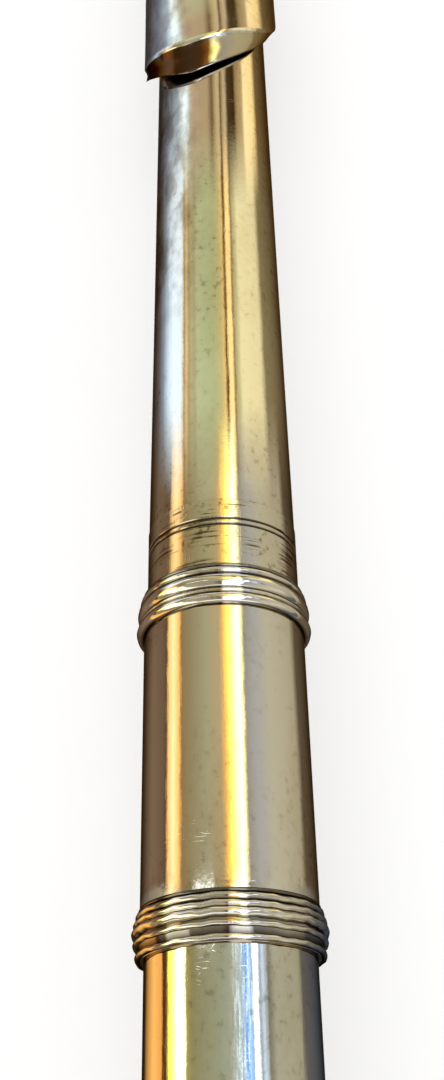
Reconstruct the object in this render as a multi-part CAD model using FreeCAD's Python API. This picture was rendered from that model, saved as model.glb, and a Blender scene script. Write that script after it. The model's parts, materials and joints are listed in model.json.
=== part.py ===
import FreeCAD, Part

import math
import os

from FreeCAD import Vector

# A concert flute in C with plateau keys, offset G keys and a C foot, laid down.
# X runs along the tube towards the head, and the origin is the open end of the foot.
# Places along the tube are distances from the middle of the embouchure hole.
# Angles round the tube are counted from the line of the main cups towards the player.

# Main tube
bore_radius = 9.5
tube_wall = 0.45
foot_end_place = 603.0
body_start_place = 165.0
body_end_place = 489.5
lying_roll = -21.5

# Clearances shared by the whole instrument
overrun = 2.0
seat_gap = 0.02
running_gap = 0.05
side_gap = 0.15

# Head joint
crown_end_place = -47.0
head_radius_middle = 9.40
head_radius_top = 9.12
head_middle_place = 30.0
tenon_sleeve_place = 119.5
tenon_radius = 10.04
tuning_pull = 10.0
embouchure_length = 12.2
embouchure_width = 10.4

# Lip plate and riser
lip_half_length = 33.0
lip_thickness = 1.0
lip_crest = 13.5
lip_crest_end = 11.6
lip_axis_height = 1.2
lip_side_depth = -2.0
riser_wall = 1.3

# Stopper and crown
stopper_face_place = -17.0
stopper_cork_length = 14.0
stopper_plate_thickness = 1.4
stopper_screw_radius = 2.0
crown_length = 9.0
crown_radius = 10.3
crown_skirt = 7.0
crown_groove = 0.5

# Barrel and its two beaded rings
barrel_radius = 10.45
barrel_bore_gap = 0.06
upper_ring_start = 129.5
upper_ring_end = 135.3
lower_ring_start = 170.3
lower_ring_end = 176.0
ring_crest = 11.4
ring_bead_small = 0.35

# Tone holes: place, radius of the hole, angle round the tube
hole_wall = 0.45
rim_height = 1.0
left_hole_radius = 6.9
right_hole_radius = 7.6
foot_hole_radius = 7.9
small_hole_radius = 3.6
c_sharp_hole_place = 237.0
d_sharp_trill_place = 212.0
d_trill_place = 225.0
thumb_hole_place = 275.5
b_hole_place = 295.0
a_hole_place = 315.6
upper_g_place = 337.5
lower_g_place = 360.6
f_sharp_hole_place = 385.2
f_hole_place = 411.2
e_hole_place = 438.7
d_hole_place = 467.9
e_flat_hole_place = 498.8
c_sharp_foot_place = 531.5
c_foot_place = 566.2
offset_g_angle = -20.0
g_sharp_angle = -125.0
thumb_angle = 165.0
trill_line_angle = 84.0

# Key cups, pads and arms
cup_overlap = 1.3
cup_height = 3.0
cup_bevel = 0.9
pad_gap = 0.1
pad_show = 1.0
pad_inset = 0.35
arm_width = 3.0
arm_height = 1.2
arm_reach = 2.0
arm_root_share = 0.6
arm_crown_share = 0.7
arm_bow_share = 1.5
arm_tip_share = 0.4
arm_sink_share = 0.2
arm_seat_share = 0.3
open_lift = 2.6

# Hinges
line_radius = 14.6
hinge_side = 12.5
small_hinge_side = 7.8
hinge_radius = 1.6
steel_radius = 0.95
trill_tube_radius = 1.7

# Ribs and posts
rib_thickness = 0.9
rib_half_angle = 8.0
post_stem_radius = 1.2
post_base_radius = 1.6
post_head_radius = 2.0
post_head_length = 3.2
spring_radius = 0.3
spring_length = 16.0
spring_depth = 2.5

# Places of the posts along the tube
upper_post_places = (228.0, 284.8, 327.2)
lower_post_places = (374.5, 429.0, 476.2)
g_post_places = (328.6, 370.6)
g_sharp_post_places = (349.0, 398.0)
thumb_post_places = (251.0, 287.5)
trill_post_places = (205.0, 432.0, 461.0)
foot_post_places = (492.2, 513.5, 576.5)

# Foot joint
foot_start_place = 479.5
foot_socket_radius = 10.5
foot_socket_end = 489.8
foot_ring_length = 4.5
foot_ring_crest = 11.4
foot_angle = 0.0
roller_radius = 2.0
roller_length = 9.0
roller_pin_radius = 0.6

# Touches
touch_thickness = 1.3
index_touch_step = 20.7
g_sharp_lever_width = 13.8
g_sharp_lever_length = 9.0
lever_rise_share = 0.4
lever_drop_share = 0.2
thumb_touch_length_share = 0.8
thumb_touch_width = 15.2
trill_lift_share = 0.6
e_flat_lever_width = 12.6
e_flat_lever_length = 11.0
e_flat_lever_drop = 1.9
foot_touch_step = 4.8
foot_leg_step = 6.0
ear_height_share = 1.5
ear_sink_share = 0.25
trill_touch_length = 5.2
trill_touch_reach = 11.0
trill_bridge_clearance = 2.0

tube_radius = bore_radius + tube_wall
tenon_end_place = body_start_place - side_gap - tuning_pull
barrel_bore = tenon_radius + barrel_bore_gap
origin = Vector(0, 0, 0)
along_x = Vector(1, 0, 0)
up = Vector(0, 0, 1)


def x_at(place):
    return foot_end_place - place


def whole(shape):
    return shape.removeSplitter()


def outward(solid):
    if solid.Volume < 0:
        solid.reverse()
    return solid


# A closed outline in a plane through the tube's axis. Each step is the end of a
# straight line, or the middle and the end of an arc.
def outline_face(start, steps, to_point):
    edges = []
    here = to_point(*start)
    first = here
    for step in steps:
        there = to_point(*step[-2:])
        if len(step) == 4:
            edges.append(Part.Arc(here, to_point(*step[:2]), there).toShape())
        else:
            edges.append(Part.makeLine(here, there))
        here = there
    if here.distanceToPoint(first) > 0:
        edges.append(Part.makeLine(here, first))
    return Part.Face(Part.Wire(edges))


def spun(start, steps):
    face = outline_face(start, steps, lambda x, r: Vector(x, 0, r))
    return outward(face.revolve(origin, along_x, 360))


def rod(start_x, end_x, radius, side=0.0, height=0.0):
    low = min(start_x, end_x)
    return Part.makeCylinder(radius, abs(end_x - start_x), Vector(low, side, height), along_x)


def round_tube(start_x, end_x, outer, inner, side=0.0, height=0.0):
    low, high = min(start_x, end_x), max(start_x, end_x)
    core = rod(low - overrun, high + overrun, inner, side, height)
    return rod(low, high, outer, side, height).cut(core)


# Turns a shape that was made at the top of the tube to an angle round it
def round_to(shape, angle):
    turned = shape.copy()
    turned.rotate(origin, along_x, -angle)
    return turned


def hinge_height(side):
    return math.sqrt(line_radius ** 2 - side ** 2)


def line_turn(side):
    return math.degrees(math.asin(side / line_radius))


# The angle by which a cup that stands open is lifted about its hinge
def open_angle(side=hinge_side):
    return math.degrees(open_lift / abs(side))


def rim_top():
    return tube_radius + rim_height


# Tone holes

body_holes = [
    (d_sharp_trill_place, small_hole_radius, trill_line_angle + line_turn(small_hinge_side)),
    (d_trill_place, small_hole_radius, trill_line_angle + line_turn(small_hinge_side)),
    (c_sharp_hole_place, small_hole_radius, 0.0),
    (thumb_hole_place, left_hole_radius, thumb_angle),
    (b_hole_place, left_hole_radius, 0.0),
    (a_hole_place, left_hole_radius, 0.0),
    (upper_g_place, left_hole_radius, offset_g_angle),
    (lower_g_place, left_hole_radius, offset_g_angle),
    (lower_g_place, left_hole_radius, g_sharp_angle),
    (f_sharp_hole_place, right_hole_radius, 0.0),
    (f_hole_place, right_hole_radius, 0.0),
    (e_hole_place, right_hole_radius, 0.0),
    (d_hole_place, right_hole_radius, 0.0),
]
foot_holes = [
    (e_flat_hole_place, foot_hole_radius, foot_angle),
    (c_sharp_foot_place, foot_hole_radius, foot_angle),
    (c_foot_place, foot_hole_radius, foot_angle),
]


def upright_cylinder(place, radius, top, angle):
    column = Part.makeCylinder(radius, top, Vector(x_at(place), 0, 0), up)
    return round_to(column, angle)


# A tube with its chimneys drawn up from the wall
def drawn_tube(outer, bore, holes):
    chimneys = [upright_cylinder(p, r + hole_wall, rim_top(), a) for p, r, a in holes]
    drills = [upright_cylinder(p, r, rim_top() + overrun, a) for p, r, a in holes]
    return whole(outer.multiFuse(chimneys).cut([bore] + drills))


def body_tube():
    start, end = x_at(body_start_place), x_at(body_end_place)
    outer = rod(start, end, tube_radius)
    bore = rod(end - overrun, start + overrun, bore_radius)
    return drawn_tube(outer, bore, body_holes)


def foot_tube():
    start, end = x_at(foot_socket_end + side_gap), 0.0
    socket_start = x_at(foot_start_place)
    outer = rod(start, end, tube_radius).fuse(rod(start, socket_start, foot_socket_radius))
    shoulder = rod(start - tube_wall, start, foot_socket_radius)
    socket = rod(start, socket_start + overrun, tube_radius + running_gap)
    bore = rod(end - overrun, start, bore_radius)
    tube = drawn_tube(outer.fuse(shoulder), bore, foot_holes)
    return whole(tube.cut(socket))


# Head joint

def head_outline_radius(place):
    # the head narrows in one long curve from the tenon to the crown
    share = (tenon_sleeve_place - place) / (tenon_sleeve_place - crown_end_place)
    middle = (tenon_sleeve_place - head_middle_place) / (tenon_sleeve_place - crown_end_place)
    drop_end = tube_radius - head_radius_top
    drop_middle = tube_radius - head_radius_middle
    bend = (drop_middle / middle - drop_end) / (1 - middle)
    return tube_radius - share * (drop_end + bend * (1 - share))


def head_tube():
    tip, sleeve, end = x_at(crown_end_place), x_at(tenon_sleeve_place), x_at(tenon_end_place)
    middle = x_at(head_middle_place)
    top, mid = head_outline_radius(crown_end_place), head_outline_radius(head_middle_place)
    outer = spun(
        (end, bore_radius),
        [
            (end, tenon_radius),
            (sleeve, tenon_radius),
            (sleeve, tube_radius),
            (middle, mid),
            (tip, top),
            (tip, top - tube_wall),
            (middle, mid - tube_wall),
            (sleeve, bore_radius),
        ],
    )
    return whole(outer.cut(embouchure_drill()))


# The room that the head tube takes, for what is fitted round it
def head_core():
    middle, tip = x_at(head_middle_place), x_at(crown_end_place)
    return spun(
        (middle, 0),
        [
            (middle, head_outline_radius(head_middle_place) + seat_gap),
            (tip, head_outline_radius(crown_end_place) + seat_gap),
            (tip, 0),
        ],
    )


# An oval hole with straight sides, drilled down from above
def embouchure_drill(growth=0.0):
    end_radius = embouchure_width / 2 + growth
    straight = (embouchure_length - embouchure_width) / 2
    height = lip_crest + overrun
    ends = [
        Part.makeCylinder(end_radius, height, Vector(x_at(0) + shift, 0, 0), up)
        for shift in (-straight, straight)
    ]
    corner = Vector(x_at(0) - straight, -end_radius, 0)
    middle = Part.makeBox(2 * straight, 2 * end_radius, height, corner)
    return whole(middle.multiFuse(ends))


def riser():
    column = embouchure_drill(riser_wall)
    chimney = column.common(lip_form(-lip_thickness - seat_gap))
    return whole(chimney.cut([head_core(), embouchure_drill()]))


# Shares of the half length, and how much of the swell is left there
lip_station_shares = (1.0, 0.62, 0.25)
lip_swell_shares = (0.0, 0.75, 1.0)


# The outer form of the lip plate, a swelling barrel whose axis lies above the tube's
def lip_form(growth=0.0):
    end_radius = lip_crest_end - lip_axis_height + growth
    swell = lip_crest - lip_crest_end
    stations = list(zip(lip_station_shares, lip_swell_shares))
    steps = []
    for share, part in stations:
        steps.append((x_at(0) - share * lip_half_length, end_radius + swell * part))
    for share, part in reversed(stations):
        steps.append((x_at(0) + share * lip_half_length, end_radius + swell * part))
    steps.append((x_at(0) + lip_half_length, 0))
    form = spun((x_at(0) - lip_half_length, 0), steps)
    form.translate(Vector(0, 0, lip_axis_height))
    return form


# What is kept of the form, all that lies above one arc in the side view. The arc runs
# on past the plate's ends.
def lip_outline():
    rise = lip_crest_end - lip_side_depth
    bend = (lip_half_length ** 2 + rise ** 2) / (2 * rise)
    reach = lip_half_length + overrun
    end_height = lip_side_depth + bend - math.sqrt(bend ** 2 - reach ** 2)
    left, right = x_at(0) - reach, x_at(0) + reach
    width = 2 * lip_crest
    face = outline_face(
        (left, end_height),
        [(x_at(0), lip_side_depth, right, end_height), (right, width), (left, width)],
        lambda x, z: Vector(x, -width, z),
    )
    return outward(face.extrude(Vector(0, 2 * width, 0)))


def lip_plate():
    shell = lip_form().cut(lip_form(-lip_thickness))
    plate = shell.common(lip_outline())
    return whole(plate.cut(embouchure_drill()))


def head_bore(place):
    return head_outline_radius(place) - tube_wall


def stopper_cork():
    start = x_at(stopper_face_place) + stopper_plate_thickness
    end = start + stopper_cork_length
    radius = head_bore(crown_end_place) - running_gap
    return round_tube(start, end, radius, stopper_screw_radius + seat_gap)


def stopper_screw():
    start = x_at(stopper_face_place)
    radius = head_bore(crown_end_place) - running_gap - seat_gap
    plate = rod(start, start + stopper_plate_thickness, radius)
    stem_end = x_at(crown_end_place) + crown_length / 2
    stem = rod(start, stem_end, stopper_screw_radius)
    return whole(plate.fuse(stem))


def stopper_nut():
    start = x_at(stopper_face_place) + stopper_plate_thickness + stopper_cork_length
    radius = head_bore(crown_end_place) - running_gap - seat_gap
    return round_tube(
        start, start + stopper_plate_thickness, radius, stopper_screw_radius + seat_gap
    )


def crown():
    tip = x_at(crown_end_place)
    skirt_radius = head_bore(crown_end_place) - running_gap
    inner = stopper_screw_radius + running_gap
    end = tip + crown_length
    start = tip + side_gap
    neck = crown_radius - crown_groove
    waist = start + crown_length / 3
    half = crown_radius / 2
    return spun(
        (tip - crown_skirt, inner),
        [
            (tip - crown_skirt, skirt_radius),
            (start, skirt_radius),
            (start, crown_radius),
            (waist - crown_groove, crown_radius),
            (waist, neck),
            (waist + crown_groove, crown_radius),
            (end - crown_groove * 2, crown_radius),
            (end, half),
            (end, 0),
            (end - stopper_plate_thickness, 0),
            (end - stopper_plate_thickness, inner),
        ],
    )


# Barrel and rings

def barrel():
    start, end = x_at(upper_ring_start), x_at(lower_ring_end)
    step = x_at(body_start_place) + side_gap
    return spun(
        (end, tube_radius + seat_gap),
        [
            (end, barrel_radius),
            (start, barrel_radius),
            (start, barrel_bore),
            (step, barrel_bore),
            (step, tube_radius + seat_gap),
        ],
    )


# Two beads and a broad last one, with a groove between each
bead_slope_share = 0.3
upper_ring_bead_shares = (0.0, 0.30, 0.62, 1.0)
upper_ring_crest_shares = (0.55, 0.86, 1.0)
lower_ring_bead_shares = (0.0, 0.36, 0.68, 1.0)
lower_ring_crest_shares = (0.62, 1.0, 0.84)


def beaded_ring(start_place, end_place, bead_shares, crest_shares):
    start, end = x_at(start_place), x_at(end_place)
    inner = barrel_radius + seat_gap
    height = ring_crest - inner
    steps = []
    foot = inner + ring_bead_small
    for low, high, crest in zip(bead_shares, bead_shares[1:], crest_shares):
        slope = (high - low) * bead_slope_share
        crest_radius = inner + height * crest
        steps.append((start + (end - start) * (low + slope), crest_radius))
        steps.append((start + (end - start) * (high - slope), crest_radius))
        steps.append((start + (end - start) * high, foot))
    steps.append((end, inner))
    steps.append((start, inner))
    return spun((start, foot), steps)


def upper_barrel_ring():
    return beaded_ring(
        upper_ring_start, upper_ring_end, upper_ring_bead_shares, upper_ring_crest_shares
    )


def lower_barrel_ring():
    return beaded_ring(
        lower_ring_start, lower_ring_end, lower_ring_bead_shares, lower_ring_crest_shares
    )


def plain_ring(start_place, end_place, inner, crest):
    start, end = x_at(start_place), x_at(end_place)
    edge = inner + ring_bead_small
    slope = (end - start) * bead_slope_share
    return spun(
        (start, inner),
        [(start, edge), (start + slope, crest), (end - slope, crest), (end, edge), (end, inner)],
    )


def foot_socket_ring():
    return plain_ring(
        foot_start_place,
        foot_start_place + foot_ring_length,
        foot_socket_radius + seat_gap,
        foot_ring_crest,
    )


def foot_end_ring():
    return plain_ring(
        foot_end_place - foot_ring_length,
        foot_end_place,
        tube_radius + seat_gap,
        foot_ring_crest,
    )


# Ribs, posts and steels

def sector_strap(start_place, end_place, angle, half_angle):
    face = outline_face(
        (x_at(start_place), tube_radius),
        [
            (x_at(start_place), tube_radius + rib_thickness),
            (x_at(end_place), tube_radius + rib_thickness),
            (x_at(end_place), tube_radius),
        ],
        lambda x, r: Vector(x, 0, r),
    )
    strap = outward(face.revolve(origin, along_x, 2 * half_angle))
    return round_to(strap, angle + half_angle)


def block(place, width, low, high):
    corner = Vector(x_at(place) - width / 2, -width / 2, low)
    return Part.makeBox(width, width, high - low, corner)


def post(place, angle):
    foot_height = tube_radius - tube_wall / 2
    base_top = tube_radius + rib_thickness
    base = block(place, post_base_radius * 2, foot_height, base_top)
    stem = block(place, post_stem_radius * 2, foot_height, line_radius)
    half = post_head_length / 2
    head = rod(x_at(place) - half, x_at(place) + half, post_head_radius, 0, line_radius)
    eye = rod(
        x_at(place) - post_head_length,
        x_at(place) + post_head_length,
        steel_radius + seat_gap,
        0,
        line_radius,
    )
    shape = base.fuse([stem, head]).cut([eye, core_of_tube()])
    return round_to(shape, angle)


def core_of_tube():
    return rod(-overrun, x_at(body_start_place), tube_radius)


def hole_keepers(holes):
    size = hole_wall + seat_gap
    return [upright_cylinder(p, r + size, rim_top() + overrun, a) for p, r, a in holes]


def ribbed_posts(start_place, end_place, angle, places, holes):
    strap = sector_strap(start_place, end_place, angle, rib_half_angle)
    posts = [post(p, angle) for p in places]
    return whole(strap.multiFuse(posts).cut(hole_keepers(holes)))


main_line_angle = line_turn(hinge_side)
g_line_angle = offset_g_angle + main_line_angle
g_sharp_line_angle = g_sharp_angle + main_line_angle
thumb_line_angle = thumb_angle - main_line_angle
foot_line_angle = foot_angle + main_line_angle


def main_rib():
    places = upper_post_places + lower_post_places
    start = places[0] - post_base_radius
    end = places[-1] + post_base_radius
    return ribbed_posts(start, end, main_line_angle, places, body_holes)


def foot_rib():
    start = foot_post_places[0] - post_base_radius + side_gap
    end = foot_post_places[-1] + post_base_radius
    strap = ribbed_posts(start, end, foot_line_angle, foot_post_places, foot_holes)
    keeper = rod(x_at(foot_socket_end + side_gap) - tube_wall, x_at(foot_start_place), foot_socket_radius)
    return whole(strap.cut(keeper))


def thumb_rib():
    start = thumb_post_places[0] - post_base_radius
    end = thumb_post_places[-1] + post_base_radius
    return ribbed_posts(start, end, thumb_line_angle, thumb_post_places, body_holes)


def lone_posts(places, angle):
    keepers = hole_keepers(body_holes)
    return Part.makeCompound([whole(post(p, angle).cut(keepers)) for p in places])


def steel(start_place, end_place, angle, radius=steel_radius):
    half = post_head_length / 2
    pin = rod(x_at(start_place) + half, x_at(end_place) - half, radius, 0, line_radius)
    return round_to(pin, angle)


def needle_springs(places, directions, angle):
    # each needle stands in its post and runs beside the hinge tube
    springs = []
    for place, direction in zip(places, directions):
        start = x_at(place) - direction * (post_stem_radius + seat_gap)
        end = start - direction * spring_length
        springs.append(rod(start, end, spring_radius, 0, line_radius - spring_depth))
    return round_to(Part.makeCompound(springs), angle)


# Keys. Each is made closed, at the top of the tube, and then lifted and turned.

def cup(place, hole_radius):
    radius = hole_radius + cup_overlap
    low = rim_top() + pad_gap + pad_show
    base = Part.makeCylinder(radius, cup_height - cup_bevel, Vector(x_at(place), 0, low), up)
    top = Part.makeCone(
        radius,
        radius - cup_bevel,
        cup_bevel,
        Vector(x_at(place), 0, low + cup_height - cup_bevel),
        up,
    )
    return base.fuse(top)


def cup_top():
    return rim_top() + pad_gap + pad_show + cup_height


def pad(place, hole_radius):
    radius = hole_radius + cup_overlap - pad_inset
    low = Vector(x_at(place), 0, rim_top() + pad_gap)
    return Part.makeCylinder(radius, pad_show, low, up)


# The arm rises from the hinge tube and bows over the edge of the cup
def arm(place, side, hole_radius, reach=arm_reach, top=None):
    top = cup_top() if top is None else top
    sign = math.copysign(1, side)
    hinge_z = hinge_height(side)
    edge = hole_radius + cup_overlap - cup_bevel
    far = abs(side) + hinge_radius * arm_root_share
    near = abs(side) - hinge_radius * arm_root_share
    high = top + arm_height
    bow_side = (edge + far) / 2 + arm_height
    bow_height = (high + hinge_z) / 2 + arm_height * arm_bow_share
    underside = top - arm_height * arm_sink_share
    face = outline_face(
        (sign * far, hinge_z),
        [
            (sign * bow_side, bow_height, sign * edge * arm_crown_share, high),
            (-sign * reach, top + arm_height * arm_tip_share),
            (-sign * reach, underside),
            (sign * (edge - cup_bevel), underside),
            (sign * near, hinge_z + hinge_radius * arm_seat_share),
        ],
        lambda y, z: Vector(x_at(place) - arm_width / 2, y, z),
    )
    return outward(face.extrude(Vector(arm_width, 0, 0)))


def hinge_tube(start_place, end_place, side, radius=hinge_radius):
    return rod(x_at(start_place), x_at(end_place), radius, side, hinge_height(side))


def hinge_bore(start_place, end_place, side, radius=steel_radius):
    return rod(
        x_at(start_place) + overrun,
        x_at(end_place) - overrun,
        radius + running_gap,
        side,
        hinge_height(side),
    )


def lifted(shape, side, angle, degrees):
    turned = shape.copy()
    turn = -math.copysign(degrees, side)
    turned.rotate(Vector(0, side, hinge_height(side)), along_x, turn)
    return round_to(turned, angle)


def key_with_cups(cups, tube_span, side=hinge_side, extras=()):
    pieces = []
    for place, hole_radius in cups:
        pieces.append(cup(place, hole_radius))
        pieces.append(arm(place, side, hole_radius))
    tube = hinge_tube(tube_span[0], tube_span[1], side)
    solid = tube.multiFuse(pieces + list(extras))
    return whole(solid.cut(hinge_bore(tube_span[0], tube_span[1], side)))


def pads_of(cups):
    return Part.makeCompound([pad(p, r) for p, r in cups])


def between(low_post, high_post):
    half = post_head_length / 2 + side_gap
    return (low_post + half, high_post - half)


def oval_touch(place, side, length, width, height, centre=0.0):
    oval = Part.Ellipse(origin, max(length, width) / 2, min(length, width) / 2)
    face = Part.Face(Part.Wire(oval.toShape()))
    if width > length:
        face.rotate(origin, up, 90)
    plate = face.extrude(Vector(0, 0, touch_thickness))
    plate.translate(Vector(x_at(place), centre, height))
    return plate


nodes = {}
hinges = {}


def laid(shape):
    turned = shape.copy()
    turned.rotate(origin, along_x, lying_roll)
    return turned


def keep(name, shape):
    nodes[name] = laid(shape)


def keep_hinge(name, angle, lift):
    point = round_to(Part.Vertex(0, 0, line_radius), angle)
    spot = laid(point).Vertexes[0].Point
    hinges[name] = (spot.y, spot.z, lift)


# Open-standing cups on one line, split into keys by their spans
split_gap = side_gap


def build_upper_stack():
    c_span = between(upper_post_places[0], upper_post_places[1])
    stack = between(upper_post_places[1], upper_post_places[2])
    split = (b_hole_place + a_hole_place) / 2
    lift = open_angle()
    index_touch_place = c_span[1] - index_touch_step
    c_cups = [(c_sharp_hole_place, small_hole_radius)]
    touch = cup(index_touch_place, left_hole_radius - cup_overlap)
    touch_arm = arm(index_touch_place, hinge_side, left_hole_radius - cup_overlap)
    c_key = key_with_cups(c_cups, c_span, extras=[touch, touch_arm])
    keep("c_key", lifted(c_key, hinge_side, 0, lift))
    keep("c_key_pad", lifted(pads_of(c_cups), hinge_side, 0, lift))
    keep_hinge("c_key", main_line_angle, lift)
    spans = {"b_key": (stack[0], split), "a_key": (split + split_gap, stack[1])}
    holes = {"b_key": b_hole_place, "a_key": a_hole_place}
    for name, span in spans.items():
        cups = [(holes[name], left_hole_radius)]
        keep(name, lifted(key_with_cups(cups, span), hinge_side, 0, lift))
        keep(name + "_pad", lifted(pads_of(cups), hinge_side, 0, lift))
        keep_hinge(name, main_line_angle, lift)


def build_g_keys():
    lift = open_angle()
    cups = [(upper_g_place, left_hole_radius), (lower_g_place, left_hole_radius)]
    key = key_with_cups(cups, between(*g_post_places))
    keep("g_keys", lifted(key, hinge_side, offset_g_angle, lift))
    keep("g_keys_pads", lifted(pads_of(cups), hinge_side, offset_g_angle, lift))
    keep_hinge("g_keys", g_line_angle, lift)


def build_lower_stack():
    lift = open_angle()
    upper = between(lower_post_places[0], lower_post_places[1])
    lower = between(lower_post_places[1], lower_post_places[2])
    upper_split = (f_sharp_hole_place + f_hole_place) / 2
    lower_split = (e_hole_place + d_hole_place) / 2
    spans = {
        "f_sharp_key": (upper[0], upper_split),
        "f_key": (upper_split + split_gap, upper[1]),
        "e_key": (lower[0], lower_split),
        "d_key": (lower_split + split_gap, lower[1]),
    }
    places = {
        "f_sharp_key": f_sharp_hole_place,
        "f_key": f_hole_place,
        "e_key": e_hole_place,
        "d_key": d_hole_place,
    }
    for name, span in spans.items():
        cups = [(places[name], right_hole_radius)]
        keep(name, lifted(key_with_cups(cups, span), hinge_side, 0, lift))
        keep(name + "_pad", lifted(pads_of(cups), hinge_side, 0, lift))
        keep_hinge(name, main_line_angle, lift)


# A closed cup low on the far side, worked by a lever beside the offset cups
def build_g_sharp_key():
    cups = [(lower_g_place, left_hole_radius)]
    span = between(*g_sharp_post_places)
    touch_place = f_sharp_hole_place
    hinge_z = hinge_height(hinge_side)
    lever_end = hinge_side + g_sharp_lever_length
    root = hinge_z + hinge_radius * lever_rise_share
    tip = hinge_z - hinge_radius * lever_drop_share
    lever = outline_face(
        (hinge_side, root),
        [
            (lever_end, tip),
            (lever_end, tip + touch_thickness),
            (hinge_side, root + touch_thickness),
        ],
        lambda y, z: Vector(x_at(touch_place) - g_sharp_lever_width / 2, y, z),
    ).extrude(Vector(g_sharp_lever_width, 0, 0))
    key = key_with_cups(cups, span, extras=[outward(lever)])
    keep("g_sharp_key", lifted(key, hinge_side, g_sharp_angle, 0))
    keep("g_sharp_key_pad", lifted(pads_of(cups), hinge_side, g_sharp_angle, 0))
    keep_hinge("g_sharp_key", g_sharp_line_angle, open_angle())


# Thumb keys under the tube
def build_thumb_keys():
    lift = open_angle()
    side = -hinge_side
    cups = [(thumb_hole_place, left_hole_radius)]
    start, end = between(*thumb_post_places)
    split = thumb_hole_place - left_hole_radius - cup_overlap - split_gap
    key = key_with_cups(cups, (split + split_gap, end), side)
    keep("thumb_b_key", lifted(key, side, thumb_angle, lift))
    keep("thumb_b_key_pad", lifted(pads_of(cups), side, thumb_angle, lift))
    keep_hinge("thumb_b_key", thumb_line_angle, lift)
    touch_place = (start + split) / 2
    touch_length = (split - start) * thumb_touch_length_share
    touch = oval_touch(
        touch_place, side, touch_length, thumb_touch_width, cup_top() - touch_thickness
    )
    lever_arm = arm(touch_place, side, left_hole_radius, arm_reach, cup_top() - arm_height / 2)
    flat = hinge_tube(start, split, side).multiFuse([touch, lever_arm])
    flat = whole(flat.cut(hinge_bore(start, split, side)))
    keep("thumb_b_flat_key", lifted(flat, side, thumb_angle, lift))
    keep_hinge("thumb_b_flat_key", thumb_line_angle, lift)


# Trill keys. The outer key turns on the rod of the inner one.
def trill_bridge(place, inner_radius):
    # a curved bar that crosses over the main hinge line and ends in a touch
    sweep = trill_line_angle - trill_touch_reach
    face = outline_face(
        (x_at(place) - arm_width / 2, inner_radius),
        [
            (x_at(place) - arm_width / 2, inner_radius + arm_height),
            (x_at(place) + arm_width / 2, inner_radius + arm_height),
            (x_at(place) + arm_width / 2, inner_radius),
        ],
        lambda x, r: Vector(x, 0, r),
    )
    bar = outward(face.revolve(origin, along_x, sweep))
    bar = round_to(bar, trill_line_angle)
    return bar


def build_trill_keys():
    side = -small_hinge_side
    hole_angle = trill_line_angle + line_turn(small_hinge_side)
    inner_radius = line_radius + post_head_radius + trill_bridge_clearance
    keys = {
        "d_trill_key": (d_trill_place, (f_hole_place + e_hole_place) / 2),
        "d_sharp_trill_key": (d_sharp_trill_place, (e_hole_place + d_hole_place) / 2),
    }
    for name, (hole_place, touch_place) in keys.items():
        cups = [(hole_place, small_hole_radius)]
        bridge = trill_bridge(touch_place, inner_radius)
        riser_height = inner_radius + arm_height - line_radius
        link = Part.makeBox(
            arm_width,
            hinge_radius,
            riser_height,
            Vector(x_at(touch_place) - arm_width / 2, -hinge_radius / 2, line_radius),
        )
        link = round_to(link, trill_line_angle)
        touch = oval_touch(
            touch_place, 0, trill_touch_length, trill_touch_reach, inner_radius - touch_thickness / 2
        )
        touch = round_to(touch, trill_touch_reach)
        cup_part = cup(hole_place, small_hole_radius).fuse(
            arm(hole_place, side, small_hole_radius, arm_reach / 2)
        )
        cup_part = round_to(cup_part, hole_angle)
        if name == "d_trill_key":
            start = hole_place - arm_width
            end = touch_place + arm_width
            tube = rod(x_at(start), x_at(end), trill_tube_radius, 0, line_radius)
            drill = rod(
                x_at(start) + overrun, x_at(end) - overrun, steel_radius + running_gap, 0, line_radius
            )
            tube = round_to(tube, trill_line_angle)
            drill = round_to(drill, trill_line_angle)
            key = tube.multiFuse([cup_part, bridge, link, touch]).cut(drill)
        else:
            half = post_head_length / 2
            start = trill_post_places[0] - half
            end = trill_post_places[-1] + half
            pin = round_to(
                rod(x_at(start), x_at(end), steel_radius, 0, line_radius), trill_line_angle
            )
            collars = [
                (hole_place - arm_width / 2, hole_place + arm_width / 2),
                (touch_place - arm_width / 2, touch_place + arm_width / 2),
            ]
            tubes = [
                round_to(rod(x_at(a), x_at(b), hinge_radius, 0, line_radius), trill_line_angle)
                for a, b in collars
            ]
            key = pin.multiFuse(tubes + [cup_part, bridge, link, touch])
        keep(name, whole(key))
        keep(name + "_pad", round_to(pads_of(cups), hole_angle))
        keep_hinge(name, trill_line_angle, open_angle(small_hinge_side) * trill_lift_share)


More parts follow.
